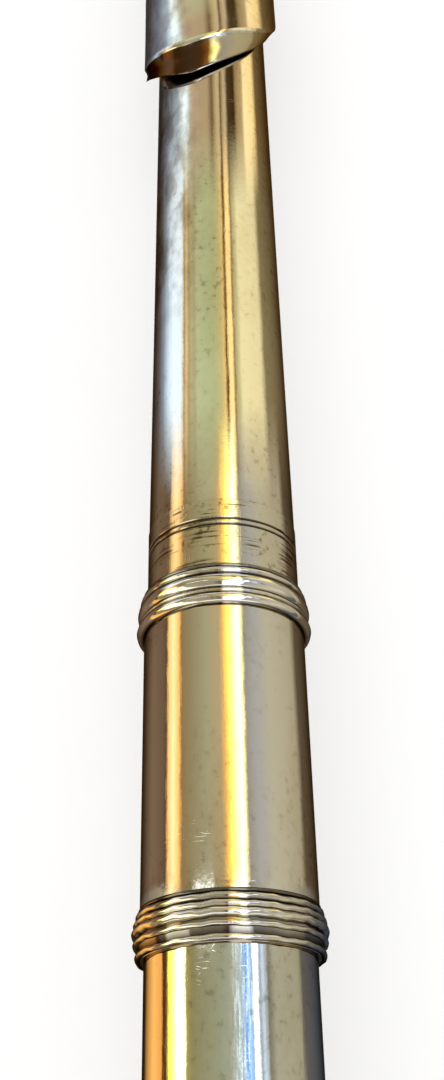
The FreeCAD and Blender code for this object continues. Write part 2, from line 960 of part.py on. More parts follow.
# Foot keys
def build_foot_keys():
    lift = open_angle()
    first = between(foot_post_places[0], foot_post_places[1])
    second = between(foot_post_places[1], foot_post_places[2])
    split = (c_sharp_foot_place + c_foot_place) / 2
    hinge_z = hinge_height(hinge_side)
    lever_place = (first[0] + first[1]) / 2
    lever_end = hinge_side + e_flat_lever_length
    root = hinge_z + hinge_radius * lever_drop_share
    tip = hinge_z - e_flat_lever_drop
    lever = outline_face(
        (hinge_side, root),
        [
            (lever_end, tip),
            (lever_end, tip + touch_thickness),
            (hinge_side, root + touch_thickness),
        ],
        lambda y, z: Vector(x_at(lever_place) - e_flat_lever_width / 2, y, z),
    ).extrude(Vector(e_flat_lever_width, 0, 0))
    cups = [(e_flat_hole_place, foot_hole_radius)]
    key = key_with_cups(cups, first, extras=[outward(lever)])
    keep("e_flat_key", lifted(key, hinge_side, foot_angle, 0))
    keep("e_flat_key_pad", lifted(pads_of(cups), hinge_side, foot_angle, 0))
    keep_hinge("e_flat_key", foot_line_angle, lift)

    touch_side = hinge_side - hinge_radius * 2
    touch_place = second[0] + foot_touch_step
    touch_height = cup_top() + arm_height
    touch = oval_touch(touch_place, hinge_side, roller_length, foot_hole_radius, touch_height, 0)
    touch.translate(Vector(0, touch_side - foot_hole_radius / 2, 0))
    post_block = Part.makeBox(
        arm_width,
        hinge_radius,
        touch_height + touch_thickness / 2 - hinge_z,
        Vector(x_at(touch_place) - arm_width / 2, hinge_side - hinge_radius, hinge_z),
    )
    shelf = Part.makeBox(
        arm_width,
        foot_hole_radius / 2,
        touch_thickness,
        Vector(x_at(touch_place) - arm_width / 2, hinge_side - foot_hole_radius / 2, touch_height),
    )
    cups = [(c_sharp_foot_place, foot_hole_radius)]
    key = key_with_cups(cups, (second[0], split), extras=[touch, post_block, shelf])
    keep("c_sharp_foot_key", lifted(key, hinge_side, foot_angle, lift))
    keep("c_sharp_foot_key_pad", lifted(pads_of(cups), hinge_side, foot_angle, lift))
    keep_hinge("c_sharp_foot_key", foot_line_angle, lift)

    # the low C key reaches back beside the C sharp touch with a bar and a roller
    cups = [(c_foot_place, foot_hole_radius)]
    bar_side = hinge_side + hinge_radius
    bar_height = touch_height - roller_radius / 2
    bar_start = touch_place - roller_length / 2 - arm_width / 2
    bar_end = split + foot_leg_step
    bar = Part.makeBox(
        bar_end - bar_start,
        arm_height,
        arm_height,
        Vector(x_at(bar_end), bar_side, bar_height),
    )
    leg = Part.makeBox(
        arm_width,
        hinge_radius * 2,
        bar_height + arm_height - hinge_z,
        Vector(x_at(bar_end), hinge_side - hinge_radius + arm_height, hinge_z),
    )
    roller_side = bar_side + roller_radius + arm_height + side_gap
    roller_x = (x_at(touch_place) - roller_length / 2, x_at(touch_place) + roller_length / 2)
    pin = rod(
        roller_x[0] - arm_width / 2,
        roller_x[1] + arm_width / 2,
        roller_pin_radius,
        roller_side,
        bar_height + arm_height / 2,
    )
    ears = []
    for ear_x in (roller_x[0] - side_gap - arm_height, roller_x[1] + side_gap):
        ears.append(
            Part.makeBox(
                arm_height,
                roller_side - bar_side + roller_pin_radius * 2,
                arm_height * ear_height_share,
                Vector(ear_x, bar_side, bar_height - arm_height * ear_sink_share),
            )
        )
    key = key_with_cups(cups, (split + split_gap, second[1]), extras=[bar, leg, pin] + ears)
    keep("c_foot_key", lifted(key, hinge_side, foot_angle, lift))
    keep("c_foot_key_pad", lifted(pads_of(cups), hinge_side, foot_angle, lift))
    keep_hinge("c_foot_key", foot_line_angle, lift)
    roller = round_tube(
        roller_x[0],
        roller_x[1],
        roller_radius,
        roller_pin_radius + running_gap,
        roller_side,
        bar_height + arm_height / 2,
    )
    keep("c_roller", lifted(roller, hinge_side, foot_angle, lift))
    centre = Part.Vertex(0, roller_side, bar_height + arm_height / 2)
    spot = laid(lifted(centre, hinge_side, foot_angle, lift)).Vertexes[0].Point
    hinges["c_roller"] = (spot.y, spot.z, 360)


def build_frame():
    keep("head_tube", head_tube())
    keep("lip_plate", lip_plate())
    keep("riser", riser())
    keep("crown", crown())
    keep("stopper_cork", stopper_cork())
    keep("stopper_screw", stopper_screw())
    keep("stopper_nut", stopper_nut())
    keep("barrel", barrel())
    keep("upper_barrel_ring", upper_barrel_ring())
    keep("lower_barrel_ring", lower_barrel_ring())
    keep("body_tube", body_tube())
    keep("foot_tube", foot_tube())
    keep("foot_socket_ring", foot_socket_ring())
    keep("foot_end_ring", foot_end_ring())
    keep("main_rib", main_rib())
    keep("foot_rib", foot_rib())
    keep("thumb_rib", thumb_rib())
    keep("g_posts", lone_posts(g_post_places, g_line_angle))
    keep("g_sharp_posts", lone_posts(g_sharp_post_places, g_sharp_line_angle))
    keep("trill_posts", lone_posts(trill_post_places, trill_line_angle))
    steels = [
        steel(upper_post_places[0] - post_head_length, upper_post_places[-1] + post_head_length,
              main_line_angle),
        steel(lower_post_places[0] - post_head_length, lower_post_places[-1] + post_head_length,
              main_line_angle),
    ]
    keep("main_steels", Part.makeCompound(steels))
    lines = {
        "g_steel": (g_post_places, g_line_angle),
        "g_sharp_steel": (g_sharp_post_places, g_sharp_line_angle),
        "thumb_steel": (thumb_post_places, thumb_line_angle),
        "foot_steel": (foot_post_places, foot_line_angle),
    }
    for name, (places, angle) in lines.items():
        keep(name, steel(places[0] - post_head_length, places[-1] + post_head_length, angle))
    places = upper_post_places + lower_post_places
    directions = (1, 1, -1, 1, 1, -1)
    keep("needle_springs", needle_springs(places, directions, main_line_angle))
    keep("foot_springs", needle_springs(foot_post_places[1:], (1, -1), foot_line_angle))


def export_all():
    os.makedirs("parts", exist_ok=True)
    for name, shape in nodes.items():
        shape.exportStep("parts/" + name + ".step")
    for name, (y, z, lift) in hinges.items():
        print("hinge", name, round(y, 4), round(z, 4), round(lift, 3))
    print("nodes", len(nodes))


build_frame()
build_upper_stack()
build_g_keys()
build_lower_stack()
build_g_sharp_key()
build_thumb_keys()
build_trill_keys()
build_foot_keys()
export_all()
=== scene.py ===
import json
import math

import bpy
from mathutils import Matrix, Vector


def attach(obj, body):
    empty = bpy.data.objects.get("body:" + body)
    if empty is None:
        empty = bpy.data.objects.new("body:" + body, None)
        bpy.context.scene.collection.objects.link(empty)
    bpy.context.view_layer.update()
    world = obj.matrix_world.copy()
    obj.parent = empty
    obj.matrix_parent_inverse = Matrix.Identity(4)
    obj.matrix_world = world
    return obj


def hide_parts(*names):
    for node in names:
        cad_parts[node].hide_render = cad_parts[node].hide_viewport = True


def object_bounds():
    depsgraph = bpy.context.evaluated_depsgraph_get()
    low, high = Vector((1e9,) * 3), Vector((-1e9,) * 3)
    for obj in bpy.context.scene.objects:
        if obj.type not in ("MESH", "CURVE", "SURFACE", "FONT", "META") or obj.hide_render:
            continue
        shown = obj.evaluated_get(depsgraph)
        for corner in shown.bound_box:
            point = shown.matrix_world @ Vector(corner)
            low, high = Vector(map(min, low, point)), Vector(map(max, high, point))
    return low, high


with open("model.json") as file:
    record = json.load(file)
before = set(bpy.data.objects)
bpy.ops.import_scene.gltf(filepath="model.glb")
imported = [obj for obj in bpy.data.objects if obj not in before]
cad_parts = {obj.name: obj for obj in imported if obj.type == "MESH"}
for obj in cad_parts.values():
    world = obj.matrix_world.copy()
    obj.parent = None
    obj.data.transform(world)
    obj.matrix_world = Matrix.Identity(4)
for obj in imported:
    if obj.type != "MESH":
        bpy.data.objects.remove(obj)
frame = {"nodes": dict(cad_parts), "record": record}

# A concert flute, laid down with its keys up, seen close from above the barrel.
# Lengths in the settings are millimetres unless a name says otherwise.
mm = 0.001
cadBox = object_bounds()
record = frame["record"]
bodyOfNode = {
    node: body for body, nodes in record["behaviour"]["bodies"].items() for node in nodes
}
slotOfNode = {part["node"]: part["material_slot"] for part in record["subparts"]}
print("frame loaded:", len(frame["nodes"]), "nodes")


# Helpers for modelling

tubeSettings = {
    "around": 192,          # faces round a large tube
    "footEndPlace": 603.0,  # places are counted from the middle of the blow hole
    "lyingRoll": -21.5,     # degrees that the flute is rolled as it lies
    "smoothAngle": 32.0,
    "merge": 0.0005,        # points closer than this are one
    "beadSteps": 6,
}


def xAt(place):
    return tubeSettings["footEndPlace"] - place


def editAll():
    bpy.ops.object.mode_set(mode="EDIT")
    bpy.ops.mesh.select_all(action="SELECT")


def editDone():
    bpy.ops.object.mode_set(mode="OBJECT")


def clearSelection():
    if bpy.context.object and bpy.context.object.mode != "OBJECT":
        editDone()
    bpy.ops.object.select_all(action="DESELECT")


def pick(*pieces):
    clearSelection()
    for piece in pieces:
        piece.select_set(True)
    bpy.context.view_layer.objects.active = pieces[0]


def named(name):
    piece = bpy.context.object
    piece.name = name
    piece.data.name = name
    return piece


def settle(piece):
    pick(piece)
    bpy.ops.object.transform_apply(location=True, rotation=True, scale=True)
    return piece


def applied(piece, kind, **values):
    # adds a modifier, sets it and applies it
    pick(piece)
    modifier = piece.modifiers.new(kind.title(), kind)
    for key, value in values.items():
        setattr(modifier, key, value)
    bpy.ops.object.modifier_apply(modifier=modifier.name)
    return piece


def tidied(piece):
    pick(piece)
    editAll()
    bpy.ops.mesh.remove_doubles(threshold=tubeSettings["merge"] * mm)
    bpy.ops.mesh.normals_make_consistent(inside=False)
    editDone()
    return piece


def smoothed(piece, angle=None):
    pick(piece)
    angle = math.radians(angle or tubeSettings["smoothAngle"])
    bpy.ops.object.shade_smooth_by_angle(angle=angle)
    return piece


# Draws the selected edges out by a move in mm
def drawnOut(*move):
    value = [distance * mm for distance in move]
    bpy.ops.mesh.extrude_region_move(TRANSFORM_OT_translate={"value": value})


# A turned piece: a ring of edges is drawn out along the tube through (x, radius) points
def turned(name, profile, closed=True):
    clearSelection()
    x, radius = profile[0]
    bpy.ops.mesh.primitive_circle_add(
        vertices=tubeSettings["around"],
        radius=radius * mm,
        location=(x * mm, 0, 0),
        rotation=(0, math.pi / 2, 0),
    )
    piece = settle(named(name))
    editAll()
    steps = list(profile[1:]) + ([profile[0]] if closed else [])
    for nextX, nextRadius in steps:
        drawnOut(nextX - x, 0, 0)
        scale = nextRadius / radius
        bpy.ops.transform.resize(value=(1, scale, scale), center_override=(nextX * mm, 0, 0))
        x, radius = nextX, nextRadius
    editDone()
    return tidied(piece)


def capped(piece):
    pick(piece)
    bpy.ops.object.mode_set(mode="EDIT")
    bpy.ops.mesh.select_all(action="DESELECT")
    bpy.ops.mesh.select_mode(type="EDGE")
    bpy.ops.mesh.select_non_manifold()
    bpy.ops.mesh.edge_face_add()
    bpy.ops.mesh.select_mode(type="VERT")
    editDone()
    return tidied(piece)


def rod(name, startX, endX, radius):
    return capped(turned(name, [(startX, radius), (endX, radius)], closed=False))


def joined(pieces, name):
    pick(*pieces)
    if len(pieces) > 1:
        bpy.ops.object.join()
    return named(name)


def combined(piece, other, operation):
    applied(piece, "BOOLEAN", object=other, operation=operation, solver="EXACT")
    bpy.data.objects.remove(other)
    return piece


# Turns a piece that was made at the top of the tube to an angle round it
def roundTo(piece, degrees):
    pick(piece)
    turn = math.radians(tubeSettings["lyingRoll"] - degrees)
    piece.data.transform(Matrix.Rotation(turn, 4, "X"))
    return piece


def arcPoints(startX, endX, low, crest):
    # a bead: half an ellipse from its foot over its crest to its other foot
    points, count = [], tubeSettings["beadSteps"]
    for step in range(count + 1):
        angle = math.pi * step / count
        x = (startX + endX) / 2 - (endX - startX) / 2 * math.cos(angle)
        points.append((x, low + (crest - low) * math.sin(angle)))
    return points


# Node groups that several finishes share

# A group that takes a place and some numbers, and gives masks
def newGroup(name, inputs, outputs):
    group = bpy.data.node_groups.new(name, "ShaderNodeTree")
    group.interface.new_socket("Vector", in_out="INPUT", socket_type="NodeSocketVector")
    for label, value in inputs.items():
        socket = group.interface.new_socket(label, in_out="INPUT", socket_type="NodeSocketFloat")
        socket.default_value = value
    for label in outputs:
        group.interface.new_socket(label, in_out="OUTPUT", socket_type="NodeSocketFloat")
    return group, group.nodes.new("NodeGroupInput"), group.nodes.new("NodeGroupOutput")


def addNode(tree, kind, **values):
    node = tree.nodes.new(kind)
    for label, value in values.items():
        node.inputs[label].default_value = value
    return node


# Links a socket to another one, or sets its value
def feed(tree, socket, value):
    if isinstance(value, bpy.types.NodeSocket):
        tree.links.new(value, socket)
    elif value is not None:
        socket.default_value = value


def math2(tree, operation, first, second=None, clamp=False):
    node = tree.nodes.new("ShaderNodeMath")
    node.operation = operation
    node.use_clamp = clamp
    for socket, value in zip(node.inputs, (first, second)):
        feed(tree, socket, value)
    return node.outputs[0]


def ramped(tree, value, low, high):
    node = tree.nodes.new("ShaderNodeMapRange")
    node.clamp = True
    for label, source in (("Value", value), ("From Min", low), ("From Max", high)):
        feed(tree, node.inputs[label], source)
    return node.outputs["Result"]


# Fades in over a span that is given in mm
def fadedIn(tree, value, span):
    low, high = span
    return ramped(tree, value, low * mm, high * mm)


# Noise drawn out by a stretch for each axis, after an optional turn in radians
def stretchedNoise(tree, vector, stretch, scale, detail=2.0, turn=(0, 0, 0)):
    mapping = addNode(tree, "ShaderNodeMapping", Rotation=turn, Scale=stretch)
    tree.links.new(vector, mapping.inputs["Vector"])
    noise = addNode(tree, "ShaderNodeTexNoise", Detail=detail)
    tree.links.new(mapping.outputs[0], noise.inputs["Vector"])
    feed(tree, noise.inputs["Scale"], scale)
    return noise.outputs["Fac"]


def scaled(tree, value, factor):
    return math2(tree, "MULTIPLY", value, factor)


# How far a point lies from the tube's axis
def axisDistance(tree, split):
    side, up = split.outputs["Y"], split.outputs["Z"]
    squares = math2(tree, "ADD", scaled(tree, side, side), scaled(tree, up, up))
    return math2(tree, "SQRT", squares)


def splitPlace(tree, place):
    split = tree.nodes.new("ShaderNodeSeparateXYZ")
    tree.links.new(place, split.inputs[0])
    return split


scratchSettings = {
    # turn in radians about each axis, and how far the noise is drawn out
    "layers": (
        ((0.4, 0.5, 0.9), (1.0, 30.0, 30.0)),
        ((1.2, 0.7, -0.8), (24.0, 1.0, 24.0)),
        ((-0.7, -0.5, 2.2), (1.0, 26.0, 26.0)),
    ),
    "width": 0.020, "brokenScale": 240.0, "shown": (0.54, 0.66),
}


def makeScratchGroup():
    group, start, end = newGroup("hairlineScratches", {"Scale": 60.0}, ("Mask",))
    total = None
    place, scale = start.outputs["Vector"], start.outputs["Scale"]
    for turn, stretch in scratchSettings["layers"]:
        # a hairline runs where the noise crosses its middle value
        value = stretchedNoise(group, place, stretch, scale, 0.0, turn)
        distance = math2(group, "ABSOLUTE", math2(group, "SUBTRACT", value, 0.5))
        near = ramped(group, distance, 0.0, scratchSettings["width"])
        line = math2(group, "SUBTRACT", 1.0, near)
        # each layer shows in patches of its own
        patches = stretchedNoise(group, place, (1, 1, 1), scratchSettings["brokenScale"], turn=turn)
        line = scaled(group, line, ramped(group, patches, *scratchSettings["shown"]))
        total = line if total is None else math2(group, "MAXIMUM", total, line)
    group.links.new(total, end.inputs["Mask"])
    return group


# Clouds drawn out along the tube, broken by a finer mottle
tarnishSettings = {
    "stretch": (0.35, 1, 1), "detail": 6.0, "mottle": ((0.8, 1, 1), 1100.0, 4.0),
    "cloudShare": 0.8, "mottleShare": 0.2,
}


def makeTarnishGroup():
    values = tarnishSettings
    inputs = {"Scale": 80.0, "Low": 0.45, "High": 0.70}
    group, start, end = newGroup("tarnishClouds", inputs, ("Mask", "Mottle"))
    place, scale = start.outputs["Vector"], start.outputs["Scale"]
    clouds = stretchedNoise(group, place, values["stretch"], scale, values["detail"])
    mottle = stretchedNoise(group, place, *values["mottle"])
    mixed = math2(
        group, "ADD",
        scaled(group, clouds, values["cloudShare"]), scaled(group, mottle, values["mottleShare"]),
    )
    mask = ramped(group, mixed, start.outputs["Low"], start.outputs["High"])
    group.links.new(mask, end.inputs["Mask"])
    group.links.new(mottle, end.inputs["Mottle"])
    return group


# Fine rings round the tube, each one broken along its way
turningSettings = {
    "stretch": (1, 0.04, 0.04), "detail": 4.0, "shown": (0.54, 0.64),
    "breaks": ((1.5, 1, 1), 300.0, 3.0), "broken": (0.46, 0.58),
}


def makeTurningGroup():
    values = turningSettings
    group, start, end = newGroup("turningLines", {"Scale": 2500.0}, ("Mask",))
    place, scale = start.outputs["Vector"], start.outputs["Scale"]
    lines = stretchedNoise(group, place, values["stretch"], scale, values["detail"])
    breaks = stretchedNoise(group, place, *values["breaks"])
    lines = ramped(group, lines, *values["shown"])
    shown = scaled(group, lines, ramped(group, breaks, *values["broken"]))
    group.links.new(shown, end.inputs["Mask"])
    return group


groups = {
    "scratches": makeScratchGroup(),
    "tarnish": makeTarnishGroup(),
    "turning": makeTurningGroup(),
}
print("node groups made:", len(groups))


# Finishes

def newMaterial(name, kind="ShaderNodeBsdfPrincipled"):
    material = bpy.data.materials.new(name)
    material.use_nodes = True
    tree = material.node_tree
    tree.nodes.clear()
    output = tree.nodes.new("ShaderNodeOutputMaterial")
    shader = tree.nodes.new(kind)
    tree.links.new(shader.outputs[0], output.inputs["Surface"])
    place = tree.nodes.new("ShaderNodeTexCoord").outputs["Object"]
    return material, tree, shader, place


def useGroup(tree, key, place, **values):
    node = tree.nodes.new("ShaderNodeGroup")
    node.node_tree = groups[key]
    tree.links.new(place, node.inputs["Vector"])
    for label, value in values.items():
        node.inputs[label].default_value = value
    return node


def mixColours(tree, factor, first, second):
    node = tree.nodes.new("ShaderNodeMix")
    node.data_type = "RGBA"
    tree.links.new(factor, node.inputs["Factor"])
    for socket, value in ((node.inputs[6], first), (node.inputs[7], second)):
        feed(tree, socket, (*value, 1.0) if isinstance(value, tuple) else value)
    return node.outputs[2]


def bumped(tree, shader, height, strength, distance):
    bump = addNode(tree, "ShaderNodeBump", Strength=strength, Distance=distance * mm)
    tree.links.new(height, bump.inputs["Height"])
    tree.links.new(bump.outputs[0], shader.inputs["Normal"])


# What all silver shares, unless a finish says otherwise. A noise is (stretch, scale,
# detail), and a pair says between which values something fades in.
wearSettings = {
    "edgeTint": (0.24, 0.18, 0.11), "clouds": (0.46, 0.70),
    "scratchScale": 75.0, "scratchDepth": 0.0015,
    "speckle": (0.58, 0.70), "speckleShare": 0.75,
    "scuffNoise": ((0.5, 1, 1), 420.0, 5.0), "scuffed": (0.40, 0.62), "scuffShare": 0.75,
    "shadeNoise": ((1, 1, 1), 500.0, 3.0),
    "grooveShare": 0.94, "grooveColour": (0.05, 0.035, 0.02),
    "ripple": 0.03, "rippleNoise": ((0.6, 1, 1), 130.0, 1.0),
    "grain": 0.003, "grainNoise": ((0.6, 1, 1), 2600.0, 3.0),
}

# Lengths in mm: a scuff lies along the tube and towards the player, a painted shade towards
# the player, and a groove at a distance from the axis
silverSettings = {
    "silverTube": {
        "colour": (0.96, 0.94, 0.88), "tarnish": (0.76, 0.70, 0.57), "stain": (0.38, 0.31, 0.26),
        "roughness": 0.025, "scuffRoughness": 0.10, "cloudScale": 90.0, "clouds": (0.45, 0.70),
        "scratchScale": 60.0, "scratchDepth": 0.0012, "ripple": 0.022, "grain": 0.0034,
        "scuffAlong": (512.0, 526.0), "scuffSide": (1.5, 5.5),
    },
    "silverSleeve": {
        "colour": (0.95, 0.93, 0.85), "tarnish": (0.80, 0.76, 0.62), "stain": (0.16, 0.10, 0.04),
        "roughness": 0.07, "scuffRoughness": 0.18, "cloudScale": 110.0, "clouds": (0.44, 0.68),
        "scratchScale": 70.0, "scratchDepth": 0.004, "ripple": 0.02,
        "turning": 0.95, "groove": (9.92, 10.03),
    },
    "silverBead": {
        "colour": (0.97, 0.96, 0.93), "tarnish": (0.76, 0.70, 0.56), "stain": (0.40, 0.32, 0.24),
        "edgeTint": (0.30, 0.24, 0.16), "roughness": 0.04, "scuffRoughness": 0.14,
        "cloudScale": 260.0, "clouds": (0.48, 0.74), "scratchScale": 90.0, "scratchDepth": 0.001,
        "ripple": 0.07, "rippleNoise": ((0.6, 1, 1), 360.0, 1.0), "grain": 0.002,
        "groove": (10.56, 10.98),
    },
    "silverLip": {
        "colour": (0.96, 0.94, 0.90), "tarnish": (0.80, 0.75, 0.66), "stain": (0.42, 0.38, 0.38),
        "edgeTint": (0.28, 0.22, 0.14), "roughness": 0.05, "scuffRoughness": 0.20,
        "cloudScale": 150.0, "grain": 0.0025,
        "scuffAlong": (540.0, 554.0), "scuffSide": (2.5, 6.5),
    },
    # the rim: the plate's silver with its tarnish clouds and stains, made darker and yellower as
    # painted shade
    "silverRim": {
        "colour": (0.80, 0.72, 0.52), "tarnish": (0.66, 0.58, 0.38), "stain": (0.30, 0.22, 0.12),
        "roughness": 0.14, "scuffRoughness": 0.30, "cloudScale": 160.0,
        "shaded": (0.2, 1.4), "shade": (0.115, 0.062, 0.040),
    },
    "silverParts": {
        "colour": (0.90, 0.88, 0.82), "tarnish": (0.72, 0.65, 0.52), "stain": (0.50, 0.47, 0.42),
        "edgeTint": (0.40, 0.34, 0.25), "roughness": 0.09, "scuffRoughness": 0.24,
        "cloudScale": 90.0, "clouds": (0.50, 0.76), "scratchDepth": 0.001, "ripple": 0.0,
        "grain": 0.001,
    },
}


def makeSilver(name):
    values = {**wearSettings, **silverSettings[name]}
    material, tree, shader, place = newMaterial(name)
    shader.inputs["Metallic"].default_value = 1.0
    shader.inputs["Specular Tint"].default_value = (*values["edgeTint"], 1.0)
    low, high = values["clouds"]
    clouds = useGroup(tree, "tarnish", place, Scale=values["cloudScale"], Low=low, High=high)
    scratches = useGroup(tree, "scratches", place, Scale=values["scratchScale"])
    split = splitPlace(tree, place)
    cloudy, scratched = clouds.outputs["Mask"], scratches.outputs["Mask"]
    colour = mixColours(tree, cloudy, values["colour"], values["tarnish"])
    speckle = scaled(tree, ramped(tree, clouds.outputs["Mottle"], *values["speckle"]), cloudy)
    speckle = scaled(tree, speckle, values["speckleShare"])
    colour = mixColours(tree, speckle, colour, values["stain"])
    rough = math2(tree, "MAXIMUM", cloudy, scratched)
    height = scaled(tree, scratched, -values["scratchDepth"])
    if "scuffAlong" in values:
        # the side that the chin and the hand rub is dull and mottled
        rubbed = scaled(
            tree, fadedIn(tree, split.outputs["X"], values["scuffAlong"]),
            fadedIn(tree, split.outputs["Y"], values["scuffSide"]),
        )
        patches = stretchedNoise(tree, place, *values["scuffNoise"])
        rubbed = scaled(tree, rubbed, ramped(tree, patches, *values["scuffed"]))
        stained = scaled(tree, rubbed, values["scuffShare"])
        colour = mixColours(tree, stained, colour, values["stain"])
        rough = math2(tree, "MAXIMUM", rough, rubbed)
    if "shade" in values:
        # painted shade: the player's side of the rim is darkened, with a ragged edge
        edgeNoise = stretchedNoise(tree, place, *values["shadeNoise"])
        shifted = math2(tree, "ADD", split.outputs["Y"], scaled(tree, edgeNoise, mm))
        dark = fadedIn(tree, shifted, values["shaded"])
        colour = mixColours(tree, dark, colour, values["shade"])
    if "turning" in values:
        rings = useGroup(tree, "turning", place)
        marks = scaled(tree, rings.outputs["Mask"], values["turning"])
        colour = mixColours(tree, marks, colour, values["stain"])
        rough = math2(tree, "MAXIMUM", rough, marks)
        height = math2(tree, "SUBTRACT", height, scaled(tree, marks, values["scratchDepth"]))
    if "groove" in values:
        # the deeper a point lies in the grooves, the darker it is
        shallow = fadedIn(tree, axisDistance(tree, split), values["groove"])
        depth = math2(tree, "SUBTRACT", 1.0, shallow)
        dark = scaled(tree, depth, values["grooveShare"])
        colour = mixColours(tree, dark, colour, values["grooveColour"])
    # the thin tube's ripples and a fine grain of wear
    ripples = stretchedNoise(tree, place, *values["rippleNoise"])
    grain = stretchedNoise(tree, place, *values["grainNoise"])
    height = math2(tree, "ADD", height, scaled(tree, ripples, values["ripple"]))
    height = math2(tree, "ADD", height, scaled(tree, grain, values["grain"]))
    tree.links.new(colour, shader.inputs["Base Color"])
    span = values["scuffRoughness"] - values["roughness"]
    roughness = math2(tree, "ADD", scaled(tree, rough, span), values["roughness"], clamp=True)
    tree.links.new(roughness, shader.inputs["Roughness"])
    bumped(tree, shader, height, 1.0, 1.0)
    return material


plainSettings = {
    "padSkin": {
        "colour": (0.80, 0.70, 0.50), "spot": (0.62, 0.49, 0.30), "metallic": 0.0,
        "roughness": 0.42, "noise": 700.0, "bump": 0.05,
    },
    "corkStopper": {
        "colour": (0.60, 0.40, 0.23), "spot": (0.30, 0.17, 0.09), "metallic": 0.0,
        "roughness": 0.80, "noise": 900.0, "bump": 0.10,
    },
    "bluedSteel": {
        "colour": (0.10, 0.13, 0.24), "spot": (0.20, 0.16, 0.18), "metallic": 1.0,
        "roughness": 0.26, "noise": 1500.0, "bump": 0.01,
    },
    "hingeSteel": {
        "colour": (0.56, 0.55, 0.52), "spot": (0.38, 0.35, 0.30), "metallic": 1.0,
        "roughness": 0.26, "noise": 1300.0, "bump": 0.01,
    },
    "stopperBrass": {
        "colour": (0.78, 0.66, 0.38), "spot": (0.50, 0.38, 0.18), "metallic": 1.0,
        "roughness": 0.24, "noise": 900.0, "bump": 0.01,
    },
}


# What the plain finishes share
plainWear = {
    "clouds": (0.40, 0.66), "cloudShare": 0.25, "grainDetail": 5.0,
    "roughSpread": 0.3, "bumpStrength": 0.6,
}


def makePlain(name):
    values = {**plainWear, **plainSettings[name]}
    material, tree, shader, place = newMaterial(name)
    shader.inputs["Metallic"].default_value = values["metallic"]
    low, high = values["clouds"]
    clouds = useGroup(
        tree, "tarnish", place, Scale=values["noise"] * values["cloudShare"], Low=low, High=high
    )
    grain = stretchedNoise(tree, place, (1, 1, 1), values["noise"], values["grainDetail"])
    colour = mixColours(tree, clouds.outputs["Mask"], values["colour"], values["spot"])
    tree.links.new(colour, shader.inputs["Base Color"])
    rough = math2(tree, "MULTIPLY_ADD", grain, values["roughSpread"])
    rough.node.inputs[2].default_value = values["roughness"] - values["roughSpread"] / 2
    tree.links.new(rough, shader.inputs["Roughness"])
    bumped(tree, shader, grain, values["bumpStrength"], values["bump"])
    return material


materials = {name: makeSilver(name) for name in silverSettings}
materials.update({name: makePlain(name) for name in plainSettings})
materialOfSlot = {
    "silver_tube": "silverTube",
    "silver_parts": "silverParts",
    "pad_skin": "padSkin",
    "cork": "corkStopper",
    "blued_steel": "bluedSteel",
    "hinge_steel": "hingeSteel",
    "stopper_brass": "stopperBrass",
}
print("finishes made:", len(materials))


def dressed(piece, node, material=None):
    # hands a finished piece over to the frame in the place of a CAD node
    finish = materials[material or materialOfSlot[slotOfNode[node]]]
    piece.data.materials.clear()
    piece.data.materials.append(finish)
    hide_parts(node)
    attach(piece, bodyOfNode[node])
    return piece


# Head joint

headSettings = {
    "crownEndPlace": -47.0, "endRadius": 9.12,
    "middlePlace": 30.0, "middleRadius": 9.40,
    "sleevePlace": 119.5, "tubeRadius": 9.95, "wall": 0.45,
    "sleeveRadius": 10.04, "tenonEndPlace": 154.85, "boreRadius": 9.5,
    "grooves": (122.5, 123.35), "grooveHalf": 0.24, "grooveDepth": 0.13, "edge": 0.08,
    "holeLength": 12.2, "holeWidth": 10.4, "holeSteps": 96, "cutterHeight": 20.0,
    "rings": 22,
}


def headRadius(place):
    # the head narrows in one long curve from the sleeve to the crown
    values = headSettings
    span = values["sleevePlace"] - values["crownEndPlace"]
    share = (values["sleevePlace"] - place) / span
    middle = (values["sleevePlace"] - values["middlePlace"]) / span
    dropEnd = values["tubeRadius"] - values["endRadius"]
    dropMiddle = values["tubeRadius"] - values["middleRadius"]
    bend = (dropMiddle / middle - dropEnd) / (1 - middle)
    return values["tubeRadius"] - share * (dropEnd + bend * (1 - share))


# An oval cutter that stands on the tube's axis, turned as the flute lies
def blowHoleCutter():
    values = headSettings
    radius, height = values["holeWidth"] / 2, values["cutterHeight"]
    straight = (values["holeLength"] - values["holeWidth"]) / 2
    clearSelection()
    bpy.ops.mesh.primitive_circle_add(
        vertices=values["holeSteps"], radius=radius * mm, location=(xAt(0) * mm, 0, 0),
        fill_type="NGON",
    )
    piece = settle(named("blowHoleCutter"))
    for vertex in piece.data.vertices:
        vertex.co.x += math.copysign(straight * mm, vertex.co.x - xAt(0) * mm)
    editAll()
    drawnOut(0, 0, height)
    editDone()
    return roundTo(tidied(piece), 0)


